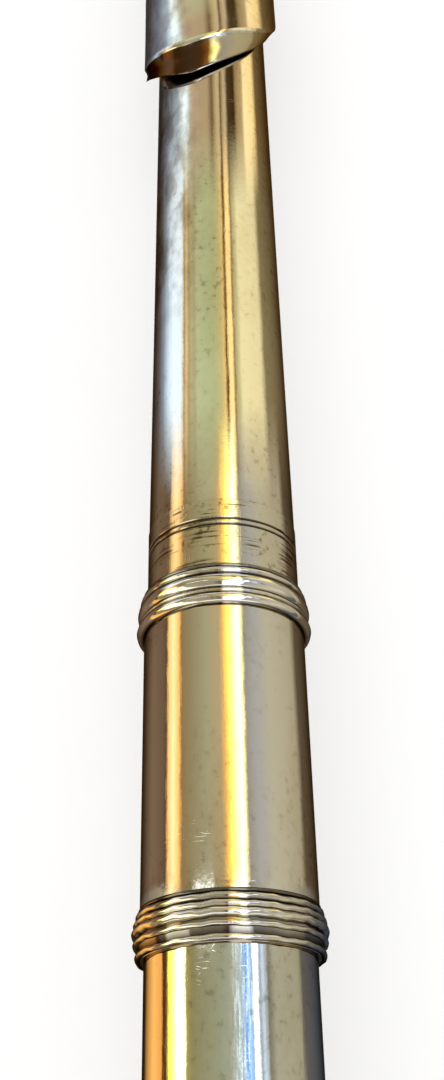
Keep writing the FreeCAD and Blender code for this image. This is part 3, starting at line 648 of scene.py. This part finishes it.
def makeHeadTube():
    values = headSettings
    sleeve, end = xAt(values["sleevePlace"]), xAt(values["tenonEndPlace"])
    tip, edge = xAt(values["crownEndPlace"]), values["edge"]
    profile = [(end, values["boreRadius"]), (end, values["sleeveRadius"] - edge)]
    profile.append((end + edge, values["sleeveRadius"]))
    for place in reversed(values["grooves"]):
        x, half = xAt(place), values["grooveHalf"]
        bottom = values["sleeveRadius"] - values["grooveDepth"]
        profile += [
            (x - half, values["sleeveRadius"]),
            (x - half / 2, bottom),
            (x + half / 2, bottom),
            (x + half, values["sleeveRadius"]),
        ]
    profile += [(sleeve - edge, values["sleeveRadius"]), (sleeve, values["tubeRadius"])]
    span = tip - sleeve
    for step in range(1, values["rings"] + 1):
        x = sleeve + span * step / values["rings"]
        profile.append((x, headRadius(tubeSettings["footEndPlace"] - x)))
    innerEnd = profile[-1][1] - values["wall"]
    innerMiddle = values["middleRadius"] - values["wall"]
    profile += [(tip, innerEnd), (xAt(values["middlePlace"]), innerMiddle)]
    profile.append((sleeve, values["boreRadius"]))
    piece = turned("headTube", profile)
    combined(piece, blowHoleCutter(), "DIFFERENCE")
    smoothed(piece)
    dressed(piece, "head_tube")
    piece.data.materials.append(materials["silverSleeve"])
    for face in piece.data.polygons:
        if face.center.x < (sleeve - edge) * mm:
            face.material_index = 1
    return piece


# Lengths in mm, turns in degrees
lipSettings = {
    # to the crisp edge where the rim starts, and to the rim's lower edge
    "rimHalfLength": 29.3, "rimHalfTurn": 115.0, "halfLength": 34.8, "halfTurn": 118.5,
    # the plate's sides, how they open at its ends, and how it rises round the blow hole
    "sideRadius": 11.72, "flare": 0.35, "farthestReach": 1.1, "crown": 1.65, "crownTurns": 1.5,
    # the rim drops less on the player's side
    "rimDrop": 1.5, "nearEase": 0.75, "easeSlope": 2.0,
    # how full the outlines are: the crisp edge's and the rim's lower one
    "fullness": 1.6, "innerBend": 0.48, "rimBend": 0.62,
    "edge": 0.15, "edgeThickness": 0.42, "thickness": 1.0,
    "holeEdge": (0.35, 0.10), "rimBulge": (0.08, 0.2), "underCrisp": 0.1,
    "around": 192, "smoothAngle": 40,
    "ringShares": (0.05, 0.12, 0.20, 0.29, 0.38, 0.47, 0.56, 0.65, 0.74, 0.82, 0.89, 0.95),
}


# A point of the lip plate: a share of the way from the blow hole (0) to the crisp edge (1)
# and on over the rim (2), and how deep it lies under the outer form
def lipPoint(share, turn, depth):
    values = lipSettings
    inner, rim = min(share, 1.0), max(share - 1.0, 0.0)
    along = headSettings["holeLength"] / 2
    holeRadius = values["sideRadius"] + values["crown"]
    across = math.degrees(headSettings["holeWidth"] / 2 / holeRadius)
    along += (values["rimHalfLength"] - along) * inner
    along += (values["halfLength"] - values["rimHalfLength"]) * rim
    across += (values["rimHalfTurn"] - across) * inner
    across += (values["halfTurn"] - values["rimHalfTurn"]) * rim
    # the blow hole is a plain oval, the outline a fuller one
    side = math.sin(turn)
    bend = values["innerBend"] + (values["rimBend"] - values["innerBend"]) * rim
    full = max(1 - abs(side) ** values["fullness"], 0.0) ** bend
    full = math.copysign(full, math.cos(turn))
    x = along * (math.cos(turn) * (1 - inner) + full * inner)
    angle = across * side
    reach = min(abs(x) / values["rimHalfLength"], values["farthestReach"])
    fall = math.radians(min(abs(angle) * values["crownTurns"], 180))
    rise = (0.5 + 0.5 * math.cos(fall)) ** 2
    radius = values["sideRadius"] + values["flare"] * reach ** 2
    radius += values["crown"] * rise * max(1 - reach ** 2, 0.0) ** 2
    near = min(max(values["easeSlope"] * side, 0.0), 1.0)
    radius -= depth * (1 - values["nearEase"] * rim * near)
    angle = math.radians(angle)
    y, z = radius * math.sin(angle), radius * math.cos(angle)
    return Vector(((xAt(0) + x) * mm, y * mm, z * mm))


def makeLipPlate():
    values = lipSettings
    edge, drop = values["edge"], values["rimDrop"]
    wide = edge / values["rimHalfLength"]
    rimWide = edge / (values["halfLength"] - values["rimHalfLength"])
    # shares and depths from the hole outwards, over the rim and back underneath
    (first, second), (outer, under) = values["holeEdge"], values["rimBulge"]
    stations = [(0.0, first), (wide, second), (3 * wide, 0.0)]
    stations += [(share, 0.0) for share in values["ringShares"]]
    stations += [(1.0 - wide, 0.0), (1.0, edge / 2), (1.0 + rimWide, edge + drop * rimWide)]
    stations += [(1.5, drop / 2 + outer), (2.0 - 2 * rimWide, drop - edge)]
    stations += [(2.0, drop), (2.0, drop + edge)]
    stations += [(2.0 - rimWide, drop + values["edgeThickness"]), (1.5, drop + under)]
    stations += [(1.0, values["thickness"] + values["underCrisp"])]
    stations += [(share, values["thickness"]) for share in reversed(values["ringShares"])]
    stations += [(0.0, values["thickness"])]
    clearSelection()
    count = values["around"]
    bpy.ops.mesh.primitive_circle_add(vertices=count, radius=mm)
    piece = settle(named("lipPlate"))
    editAll()
    for _ in stations[1:]:
        drawnOut(0, 0, 1)
    editDone()
    # the four rings of faces from the crisp edge to the rim's lower one have their own finish:
    # a darker, yellower copy of the plate's silver, as painted shade
    heights = [vertex.co.z / mm for vertex in piece.data.vertices]
    marks = piece.data.attributes.new("onRim", "BOOLEAN", "FACE")
    crisp = stations.index((1.0, edge / 2))
    for face in piece.data.polygons:
        middle = sum(heights[corner] for corner in face.vertices) / len(face.vertices)
        marks.data[face.index].value = crisp + 1 < middle < crisp + 5
    # each ring of the drawn-out circle is laid along its own line of the plate
    for vertex in piece.data.vertices:
        share, depth = stations[round(vertex.co.z / mm)]
        turn = math.atan2(vertex.co.y, vertex.co.x)
        vertex.co = lipPoint(share, turn, depth)
    pick(piece)
    editAll()
    bpy.ops.mesh.select_mode(type="EDGE")
    bpy.ops.mesh.select_all(action="DESELECT")
    bpy.ops.mesh.select_non_manifold()
    bpy.ops.mesh.bridge_edge_loops()
    bpy.ops.mesh.select_mode(type="VERT")
    editDone()
    tidied(piece)
    roundTo(piece, 0)
    smoothed(piece, values["smoothAngle"])
    dressed(piece, "lip_plate", "silverLip")
    piece.data.materials.append(materials["silverRim"])
    for face, mark in zip(piece.data.polygons, piece.data.attributes["onRim"].data):
        face.material_index = int(mark.value)
    return piece


# Barrel and its rings

barrelSettings = {
    "radius": 10.45, "bore": 10.10, "tubeSeat": 9.97,
    "upperStart": 129.5, "upperEnd": 135.3, "lowerEnd": 176.0,
    "bodyStart": 165.0, "sideGap": 0.15, "edge": 0.12,
}

# Beads from the foot side to the head side: start and end in mm, foot and crest radius.
# A dent in mm sways the beads along the tube.
ringSettings = {
    "upperRing": {
        "node": "upper_barrel_ring", "start": "upperEnd",
        "beads": (
            (0.00, 1.45, 10.62, 11.40), (1.58, 1.98, 10.80, 11.08), (2.24, 4.14, 10.70, 11.28),
            (4.36, 5.16, 10.62, 10.98), (5.28, 5.80, 10.50, 10.68),
        ),
    },
    "lowerRing": {
        "node": "lower_barrel_ring", "start": "lowerEnd", "dent": 0.065,
        "beads": (
            (0.00, 0.72, 10.56, 11.00), (1.42, 2.08, 10.74, 11.24), (2.44, 3.48, 10.70, 11.40),
            (3.54, 4.22, 10.78, 11.20), (4.40, 5.16, 10.62, 10.94), (5.26, 5.70, 10.48, 10.62),
        ),
    },
}


# What both rings share. Beads sway in waves of (turns round the tube, start in radians,
# share), and in full from a height above the barrel.
beadSettings = {
    "gap": 0.02, "smoothAngle": 50,
    "waves": ((5, 1, 1.0), (13, 0, 0.7), (29, 2, 0.5)), "swayHeight": 0.4,
}


def makeBarrel():
    values = barrelSettings
    start, end = xAt(values["upperStart"]), xAt(values["lowerEnd"])
    step = xAt(values["bodyStart"]) + values["sideGap"]
    edge = values["edge"]
    profile = [
        (end, values["tubeSeat"]), (end, values["radius"] - edge), (end + edge, values["radius"]),
        (start - edge, values["radius"]), (start, values["radius"] - edge), (start, values["bore"]),
        (step, values["bore"]), (step, values["tubeSeat"]),
    ]
    return dressed(smoothed(turned("barrel", profile)), "barrel")


def makeRing(name):
    values = {**beadSettings, **ringSettings[name]}
    inner = barrelSettings["radius"] + values["gap"]
    start = xAt(barrelSettings[values["start"]])
    profile = [(start, inner)]
    for low, high, foot, crest in values["beads"]:
        profile += arcPoints(start + low, start + high, foot, crest)
    profile.append((profile[-1][0], inner))
    piece = turned(name, profile)
    for vertex in piece.data.vertices:
        # years of wear have bent the beads a little along the tube
        angle = math.atan2(vertex.co.y, vertex.co.z)
        high = max(math.hypot(vertex.co.y, vertex.co.z) / mm - inner, 0)
        high = min(high, values["swayHeight"]) / values["swayHeight"]
        sway = sum(
            share * math.sin(turns * angle + phase) for turns, phase, share in values["waves"]
        )
        vertex.co.x += values.get("dent", 0) * sway * high * mm
    return dressed(smoothed(piece, values["smoothAngle"]), values["node"], "silverBead")


# Body tube and foot tube with their drawn tone holes

holeSettings = {
    "wall": 0.45, "rimTop": 10.95, "round": 0.12, "tubeRadius": 9.95, "boreRadius": 9.5,
    "around": 72, "bodyEndPlace": 489.5,
    # heights at which a chimney and its drill start, and how far drill and bore run on
    "chimneyStart": 4, "drillStart": 3, "drillReach": 1, "boreReach": 2,
    # place, radius of the hole, angle round the tube
    "body": (
        (212.0, 3.6, 116.29), (225.0, 3.6, 116.29), (237.0, 3.6, 0.0), (275.5, 6.9, 165.0),
        (295.0, 6.9, 0.0), (315.6, 6.9, 0.0), (337.5, 6.9, -20.0), (360.6, 6.9, -20.0),
        (360.6, 6.9, -125.0), (385.2, 7.6, 0.0), (411.2, 7.6, 0.0), (438.7, 7.6, 0.0),
        (467.9, 7.6, 0.0),
    ),
    "foot": ((498.8, 7.9, 0.0), (531.5, 7.9, 0.0), (566.2, 7.9, 0.0)),
}


def upright(name, place, radii, angle):
    # a column on the tube's axis through (height, radius) points, turned to its angle
    clearSelection()
    height, radius = radii[0]
    bpy.ops.mesh.primitive_circle_add(
        vertices=holeSettings["around"], radius=radius * mm,
        location=(xAt(place) * mm, 0, height * mm),
    )
    piece = settle(named(name))
    editAll()
    for nextHeight, nextRadius in radii[1:]:
        drawnOut(0, 0, nextHeight - height)
        scale = nextRadius / radius
        centre = (xAt(place) * mm, 0, nextHeight * mm)
        bpy.ops.transform.resize(value=(scale, scale, 1), center_override=centre)
        height, radius = nextHeight, nextRadius
    editDone()
    return roundTo(capped(piece), angle)


def drawnTube(name, outer, holes, bore):
    values = holeSettings
    top, soft, reach = values["rimTop"], values["round"], values["drillReach"]
    chimneys, drills = [], []
    for place, radius, angle in holes:
        wide = radius + values["wall"]
        column = [(values["chimneyStart"], wide), (top - soft, wide), (top, wide - soft)]
        chimneys.append(upright("chimney", place, column, angle))
        column = [(values["drillStart"], radius), (top - soft, radius)]
        column.append((top + reach, radius + soft + reach))
        drills.append(upright("drill", place, column, angle))
    combined(outer, joined(chimneys, "chimneys"), "UNION")
    combined(outer, joined(drills, "drills"), "DIFFERENCE")
    combined(outer, bore, "DIFFERENCE")
    outer.name = name
    return smoothed(tidied(outer))


def makeBodyTube():
    values = holeSettings
    start, end = xAt(barrelSettings["bodyStart"]), xAt(values["bodyEndPlace"])
    reach = values["boreReach"]
    bore = rod("bore", end - reach, start + reach, values["boreRadius"])
    outer = rod("bodyTube", end, start, values["tubeRadius"])
    return dressed(drawnTube("bodyTube", outer, values["body"], bore), "body_tube")


footSettings = {
    "socketRadius": 10.5, "socketStart": 479.5, "socketEnd": 489.95, "socketGap": 0.05,
}


def makeFootTube():
    values, holes = footSettings, holeSettings
    start, socket = xAt(values["socketEnd"]), xAt(values["socketStart"])
    radius, bore, reach = holes["tubeRadius"], holes["boreRadius"], holes["boreReach"]
    step, wide, seat = start - holes["wall"], values["socketRadius"], radius + values["socketGap"]
    profile = [(0, radius), (step, radius), (step, wide), (socket, wide)]
    outer = capped(turned("footTube", profile, closed=False))
    profile = [(-reach, bore), (start, bore), (start, seat), (socket + reach, seat)]
    bore = capped(turned("bore", profile, closed=False))
    return dressed(drawnTube("footTube", outer, holes["foot"], bore), "foot_tube")


# Keys, posts, ribs and the rest: each CAD node's mesh is copied, merged and given soft edges

finishSettings = {
    "flatAngle": 0.6,      # degrees under which neighbouring faces count as one
    # how wide a soft edge is, and its number of steps
    "edge": (0.10, 2), "padEdge": (0.28, 3), "smallEdge": (0.05, 1), "padFill": 0.9,
    "edgeAngle": 34.0,
    "hidden": ("stopper_cork", "stopper_screw", "stopper_nut"),
}


def copiedNode(node, edge, segments):
    words = node.split("_")
    name = words[0] + "".join(word.title() for word in words[1:])
    piece = bpy.data.objects.new(name, frame["nodes"][node].data.copy())
    bpy.context.scene.collection.objects.link(piece)
    tidied(piece)
    editAll()
    bpy.ops.mesh.dissolve_limited(angle_limit=math.radians(finishSettings["flatAngle"]))
    editDone()
    applied(
        piece, "BEVEL", width=edge * mm, segments=segments, limit_method="ANGLE",
        angle_limit=math.radians(finishSettings["edgeAngle"]), use_clamp_overlap=True,
    )
    smoothed(piece)
    return dressed(piece, node)


makeHeadTube()
makeLipPlate()
makeBarrel()
for ring in ringSettings:
    makeRing(ring)
print("head joint and barrel made")
makeBodyTube()
makeFootTube()
print("body and foot tubes made")
remade = {
    "head_tube", "lip_plate", "barrel", "upper_barrel_ring", "lower_barrel_ring",
    "body_tube", "foot_tube",
}
for node, cadPiece in frame["nodes"].items():
    if node in remade:
        continue
    if node in finishSettings["hidden"]:
        cadPiece.data.materials.clear()
        cadPiece.data.materials.append(materials[materialOfSlot[slotOfNode[node]]])
        continue
    if "pad" in node:
        pad = copiedNode(node, *finishSettings["padEdge"])
    elif "steel" in node or "spring" in node:
        copiedNode(node, *finishSettings["smallEdge"])
    else:
        copiedNode(node, *finishSettings["edge"])
print("keys, posts and fittings finished")


# Floor, lights and camera

cameraSettings = {
    "place": 395.0,      # along the tube, from the foot's end
    "distance": 145.3,   # from the tube's axis
    "turn": 1.5,         # degrees from straight above, towards the player
    "pitch": 31.26,      # degrees that it looks towards the head
    "roll": -1.21,
    "lens": 41.3, "sensor": 36.0, "clipStart": 0.01,
    "fan": 4.0,          # degrees by which the view turns from the tube's middle to its edge
}

# Lengths in metres
stageSettings = {
    "middle": 0.33,      # the place along the flute that the stage stands round
    "floorSize": 8.0, "floorColour": (0.97, 0.97, 0.968), "floorVeil": 0.45,
    "floorRoughness": 0.9, "floorShine": 0.1,
    "floorNoise": ((1, 1, 1), 400.0, 3.0), "floorDeeper": 0.985,
    "worldStrength": 1.0,
    "keyPower": 3.4, "keySize": 1.2, "keyPlace": (0.30, 0.25, 1.1), "keyColour": (1.0, 0.99, 0.97),
    "tentRadius": 0.85, "tentStart": -1.2, "tentEnd": 3.0, "tentGap": 0.010, "tentFoot": 0.0004,
    "tentFloorSteps": 12, "tentTurn": 3,
    "ragged": 0.10, "raggedNoise": ((1.0, 0.25, 0.25), 55.0),
    "glint": (1.5, 1.8, 2.1), "glintNoise": ((1.0, 0.35, 0.35), 90.0), "glinting": (0.53, 0.60),
    # the places across the tube between which the glints fade in from each side
    "glintFades": ((0.22, 0.17), (-0.02, 0.12)),
}

# The lining of the tent that the metal reflects. Each stretch of the flute sees its own
# part, given as (place across the tube from -1, the player's side, to 1, red, green, blue).
# It is seen in reflections alone.
tentLinings = {
    "foot": (
        (-1.0, 0.08, 0.06, 0.04), (-0.82, 0.24, 0.19, 0.12), (-0.66, 0.30, 0.24, 0.14),
        (-0.62, 1.6, 1.5, 1.1), (-0.44, 1.6, 1.5, 1.2), (-0.40, 0.40, 0.34, 0.24),
        (-0.10, 0.34, 0.28, 0.20), (-0.02, 0.12, 0.08, 0.05), (0.03, 2.2, 2.2, 2.2),
        (0.20, 2.2, 2.2, 2.3), (0.24, 0.35, 0.34, 0.32), (0.60, 0.62, 0.56, 0.42),
        (0.80, 0.20, 0.17, 0.12), (1.0, 0.05, 0.04, 0.03),
    ),
    "body": (
        (-1.0, 0.05, 0.035, 0.02), (-0.885, 0.09, 0.06, 0.03), (-0.865, 0.72, 0.38, 0.10),
        (-0.80, 1.3, 0.66, 0.18), (-0.735, 0.92, 0.42, 0.10), (-0.72, 0.10, 0.03, 0.01),
        (-0.695, 0.12, 0.05, 0.01), (-0.685, 0.60, 0.52, 0.14), (-0.67, 1.7, 1.45, 0.12),
        (-0.61, 1.8, 1.8, 0.55), (-0.58, 2.0, 2.0, 1.6), (-0.495, 1.9, 1.9, 1.1),
        (-0.48, 0.44, 0.36, 0.12), (-0.42, 0.30, 0.27, 0.13), (-0.20, 0.33, 0.34, 0.22),
        (0.02, 0.40, 0.43, 0.34), (0.10, 0.44, 0.56, 0.60), (0.16, 0.16, 0.45, 1.1),
        (0.20, 0.50, 0.90, 1.6), (0.22, 0.12, 0.22, 0.42), (0.235, 1.9, 2.0, 2.1),
        (0.28, 1.9, 2.0, 2.1), (0.29, 0.20, 0.28, 0.42), (0.33, 0.75, 0.90, 1.1),
        (0.37, 0.42, 0.46, 0.48), (0.39, 0.22, 0.21, 0.16), (0.46, 0.44, 0.42, 0.32),
        (0.72, 0.40, 0.37, 0.26), (0.75, 0.13, 0.12, 0.11), (0.90, 0.07, 0.09, 0.14),
        (1.0, 0.03, 0.03, 0.04),
    ),
    "ring": (
        (-1.0, 0.10, 0.08, 0.06), (-0.85, 0.25, 0.21, 0.17), (-0.70, 0.40, 0.34, 0.24),
        (-0.62, 1.3, 1.1, 0.7), (-0.50, 0.30, 0.22, 0.12), (-0.40, 0.16, 0.10, 0.05),
        (-0.34, 2.2, 2.2, 2.2), (-0.18, 2.2, 2.3, 2.4), (-0.15, 0.25, 0.18, 0.10),
        (0.0, 0.12, 0.07, 0.04), (0.03, 1.2, 1.1, 0.5), (0.07, 2.4, 2.4, 2.4),
        (0.17, 2.4, 2.4, 2.4), (0.20, 0.22, 0.20, 0.17), (0.45, 0.55, 0.51, 0.40),
        (0.75, 0.35, 0.32, 0.26), (0.88, 0.14, 0.13, 0.12), (1.0, 0.05, 0.05, 0.05),
    ),
    "barrel": (
        (-1.0, 0.06, 0.04, 0.02), (-0.90, 0.12, 0.08, 0.05), (-0.80, 0.24, 0.16, 0.10),
        (-0.70, 0.16, 0.10, 0.06), (-0.68, 0.10, 0.05, 0.02), (-0.655, 1.0, 0.62, 0.22),
        (-0.60, 1.5, 1.05, 0.50), (-0.53, 1.1, 0.62, 0.18), (-0.50, 0.30, 0.19, 0.08),
        (-0.40, 0.30, 0.25, 0.13), (-0.20, 0.40, 0.36, 0.22), (-0.06, 0.50, 0.38, 0.20),
        (-0.02, 0.85, 0.50, 0.16), (0.03, 1.6, 1.05, 0.18), (0.08, 1.9, 1.75, 0.50),
        (0.16, 2.1, 2.1, 1.3), (0.20, 1.2, 1.1, 0.55), (0.225, 0.36, 0.33, 0.28),
        (0.34, 0.42, 0.41, 0.40), (0.50, 0.50, 0.46, 0.34), (0.76, 0.46, 0.40, 0.28),
        (0.80, 0.14, 0.10, 0.06), (0.93, 0.13, 0.10, 0.07), (1.0, 0.06, 0.045, 0.03),
    ),
    "head": (
        (-1.0, 0.07, 0.06, 0.06), (-0.90, 0.13, 0.11, 0.11), (-0.82, 0.20, 0.18, 0.20),
        (-0.77, 0.34, 0.42, 0.56), (-0.71, 0.85, 1.05, 1.25), (-0.66, 1.0, 1.15, 1.3),
        (-0.54, 0.95, 1.1, 1.2), (-0.515, 0.80, 0.80, 0.66), (-0.50, 0.46, 0.26, 0.09),
        (-0.46, 0.85, 0.64, 0.32), (-0.43, 0.44, 0.36, 0.18), (-0.39, 0.52, 0.48, 0.27),
        (-0.34, 0.46, 0.44, 0.25), (-0.30, 0.56, 0.58, 0.33), (-0.16, 0.50, 0.55, 0.31),
        (-0.05, 0.50, 0.52, 0.26), (0.05, 0.62, 0.54, 0.24), (0.095, 0.92, 0.62, 0.22),
        (0.12, 0.15, 0.07, 0.02), (0.14, 0.22, 0.12, 0.04), (0.155, 1.2, 0.84, 0.34),
        (0.21, 1.3, 0.95, 0.40), (0.235, 0.24, 0.13, 0.05), (0.26, 0.52, 0.44, 0.20),
        (0.30, 0.66, 0.60, 0.32), (0.34, 0.92, 0.82, 0.46), (0.62, 0.90, 0.78, 0.44),
        (0.65, 0.62, 0.53, 0.30), (0.68, 0.28, 0.22, 0.11), (0.86, 0.24, 0.18, 0.10),
        (1.0, 0.08, 0.06, 0.04),
    ),
    "lip": (
        (-1.0, 0.07, 0.07, 0.10), (-0.88, 0.13, 0.14, 0.19), (-0.76, 0.24, 0.27, 0.36),
        (-0.62, 0.46, 0.55, 0.66), (-0.55, 0.90, 1.1, 1.2), (-0.50, 1.2, 1.4, 1.4),
        (-0.44, 0.85, 1.0, 1.0), (-0.40, 0.60, 0.54, 0.42), (-0.33, 0.52, 0.38, 0.24),
        (-0.10, 0.46, 0.34, 0.19),
        (-0.02, 0.18, 0.10, 0.04), (0.05, 0.55, 0.42, 0.22), (0.10, 0.62, 0.48, 0.28),
        (0.125, 0.10, 0.05, 0.015), (0.15, 0.42, 0.30, 0.15), (0.20, 0.60, 0.46, 0.28),
        (0.25, 0.08, 0.045, 0.015), (0.36, 0.04, 0.025, 0.008), (0.40, 0.36, 0.24, 0.10),
        (0.50, 0.55, 0.40, 0.20), (0.54, 1.3, 1.0, 0.50), (0.70, 1.3, 1.0, 0.46),
        (0.74, 0.26, 0.17, 0.07), (0.90, 0.18, 0.11, 0.05), (1.0, 0.06, 0.03, 0.01),
    ),
    "crown": (
        (-1.0, 0.10, 0.08, 0.06), (-0.70, 0.20, 0.13, 0.07), (-0.30, 0.22, 0.14, 0.07),
        (-0.06, 0.16, 0.09, 0.04), (-0.03, 0.08, 0.05, 0.02), (0.0, 0.62, 0.55, 0.32),
        (0.40, 0.72, 0.64, 0.40), (0.70, 0.58, 0.50, 0.30), (1.0, 0.10, 0.07, 0.04),
    ),
}

# Where one lining gives way to the next, in mm along the flute
tentSteps = {
    "body": (398.0, 402.0), "ring": (427.5, 428.0), "barrel": (432.0, 432.7),
    "head": (484.0, 500.0), "lip": (538.0, 556.0), "crown": (596.0, 606.0),
}


def makeFloor():
    values = stageSettings
    clearSelection()
    spot = (values["middle"], 0, cadBox[0].z)
    bpy.ops.mesh.primitive_plane_add(size=values["floorSize"], location=spot)
    floor = settle(named("floor"))
    material, tree, shader, place = newMaterial("floorPaint")
    shader.inputs["Roughness"].default_value = values["floorRoughness"]
    shader.inputs["Specular IOR Level"].default_value = values["floorShine"]
    grain = stretchedNoise(tree, place, *values["floorNoise"])
    colour = values["floorColour"]
    deeper = tuple(channel * values["floorDeeper"] for channel in colour)
    tree.links.new(mixColours(tree, grain, deeper, colour), shader.inputs["Base Color"])
    # to the camera, the floor is partly plain white, so that its shadow stays soft
    veil = addNode(tree, "ShaderNodeEmission", Strength=1.0, Color=(1, 1, 1, 1))
    path = tree.nodes.new("ShaderNodeLightPath")
    mix = tree.nodes.new("ShaderNodeMixShader")
    share = scaled(tree, path.outputs["Is Camera Ray"], values["floorVeil"])
    for socket, value in zip(mix.inputs, (share, shader.outputs[0], veil.outputs[0])):
        tree.links.new(value, socket)
    tree.links.new(mix.outputs[0], tree.nodes["Material Output"].inputs["Surface"])
    floor.data.materials.append(material)


# The angle round the tent that a place across the tube reflects, for the photo's view
def seenAngle(across):
    view = cameraSettings["turn"] - cameraSettings["fan"] * across
    return math.radians(view) - 2 * math.asin(across)


# The place along the flute that reflects a point of the tent in the photo's view: the
# further the point lies from the flute, the more the view fans out
def seenPlace(tree, split):
    away = axisDistance(tree, split)
    height = (cameraSettings["distance"] - headSettings["tubeRadius"]) * mm
    above = scaled(tree, split.outputs["X"], height)
    seen = math2(tree, "ADD", above, scaled(tree, away, cameraSettings["place"] * mm))
    return math2(tree, "DIVIDE", seen, math2(tree, "ADD", away, height))


def liningColour(tree, name, angle):
    stops = [(seenAngle(across), colour) for across, *colour in tentLinings[name]]
    high, low = stops[0][0], stops[-1][0]
    ramp = tree.nodes.new("ShaderNodeValToRGB")
    tree.links.new(ramped(tree, angle, low, high), ramp.inputs[0])
    elements = ramp.color_ramp.elements
    for index, (place, colour) in enumerate(reversed(stops)):
        position = (place - low) / (high - low)
        # a new ramp has two stops of its own
        element = elements[index] if index < 2 else elements.new(position)
        element.position = position
        element.color = (*colour, 1.0)
    return ramp.outputs[0]


def makeTent():
    values = stageSettings
    reach, count = values["tentRadius"], values["tentFloorSteps"]
    foot = cadBox[0].z + values["tentFoot"]
    # the section runs out along the floor, over the flute and back along the floor
    section = [(reach * step / count, foot) for step in range(count)]
    section[0] = (values["tentGap"], foot)
    for turn in range(90, -1, -values["tentTurn"]):
        section.append((reach * math.sin(math.radians(turn)), reach * math.cos(math.radians(turn))))
    section += [(-side, up) for side, up in reversed(section[:-1])]
    clearSelection()
    bpy.ops.mesh.primitive_grid_add(x_subdivisions=1, y_subdivisions=len(section) - 1, size=2)
    tent = settle(named("tent"))
    for vertex in tent.data.vertices:
        index = round((vertex.co.y + 1) / 2 * (len(section) - 1))
        end = values["tentStart"] if vertex.co.x < 0 else values["tentEnd"]
        vertex.co = (end, *section[index])
    material, tree, glow, place = newMaterial("tentLining", "ShaderNodeEmission")
    split = splitPlace(tree, place)
    angle = math2(tree, "ARCTAN2", split.outputs["Y"], split.outputs["Z"])
    # the lining's edges are a little ragged, and part of it glitters
    ragged = stretchedNoise(tree, place, *values["raggedNoise"])
    shift = scaled(tree, math2(tree, "SUBTRACT", ragged, 0.5), values["ragged"])
    angle = math2(tree, "ADD", angle, shift)
    glints = ramped(tree, stretchedNoise(tree, place, *values["glintNoise"]), *values["glinting"])
    for low, high in values["glintFades"]:
        glints = scaled(tree, glints, ramped(tree, angle, seenAngle(low), seenAngle(high)))
    along = seenPlace(tree, split)
    colour = liningColour(tree, "foot", angle)
    for name, span in tentSteps.items():
        share = fadedIn(tree, along, span)
        lining = liningColour(tree, name, angle)
        if name == "body":
            lining = mixColours(tree, glints, lining, values["glint"])
        colour = mixColours(tree, share, colour, lining)
    tree.links.new(colour, glow.inputs["Color"])
    tent.data.materials.append(material)
    for kind in ("camera", "diffuse", "transmission", "shadow"):
        setattr(tent, "visible_" + kind, False)


def makeLights():
    values = stageSettings
    world = bpy.data.worlds.new("studio")
    bpy.context.scene.world = world
    world.use_nodes = True
    tree = world.node_tree
    tree.nodes.clear()
    output = tree.nodes.new("ShaderNodeOutputWorld")
    strength = values["worldStrength"]
    white = addNode(tree, "ShaderNodeBackground", Strength=strength, Color=(1, 1, 1, 1))
    tree.links.new(white.outputs[0], output.inputs["Surface"])
    clearSelection()
    bpy.ops.object.light_add(type="AREA", location=values["keyPlace"])
    key = bpy.context.object
    key.name = "softKey"
    key.data.energy = values["keyPower"]
    key.data.size = values["keySize"]
    key.data.color = values["keyColour"]
    aim = Vector((values["middle"], 0, 0)) - Vector(values["keyPlace"])
    key.rotation_euler = aim.to_track_quat("-Z", "Y").to_euler()
    key.visible_glossy = False


def makeCamera():
    values = cameraSettings
    turn, pitch, roll = (math.radians(values[key]) for key in ("turn", "pitch", "roll"))
    outward = Vector((0, math.sin(turn), math.cos(turn)))
    right = Vector((0, -math.cos(turn), math.sin(turn)))
    forward = Vector((math.sin(pitch), 0, 0)) - math.cos(pitch) * outward
    upward = (-forward).cross(right)
    rolledRight = math.cos(roll) * right + math.sin(roll) * upward
    rolledUp = math.cos(roll) * upward - math.sin(roll) * right
    clearSelection()
    bpy.ops.object.camera_add()
    camera = bpy.context.object
    camera.name = "photoCamera"
    camera.data.lens = values["lens"]
    camera.data.sensor_width = values["sensor"]
    camera.data.clip_start = values["clipStart"]
    spot = Vector((values["place"] * mm, 0, 0)) + outward * values["distance"] * mm
    axes = Matrix((rolledRight, rolledUp, -forward)).transposed().to_4x4()
    camera.matrix_world = Matrix.Translation(spot) @ axes
    bpy.context.scene.camera = camera


makeFloor()
makeTent()
makeLights()
makeCamera()
bpy.context.scene.view_settings.view_transform = "Standard"
print("stage, lights and camera made")
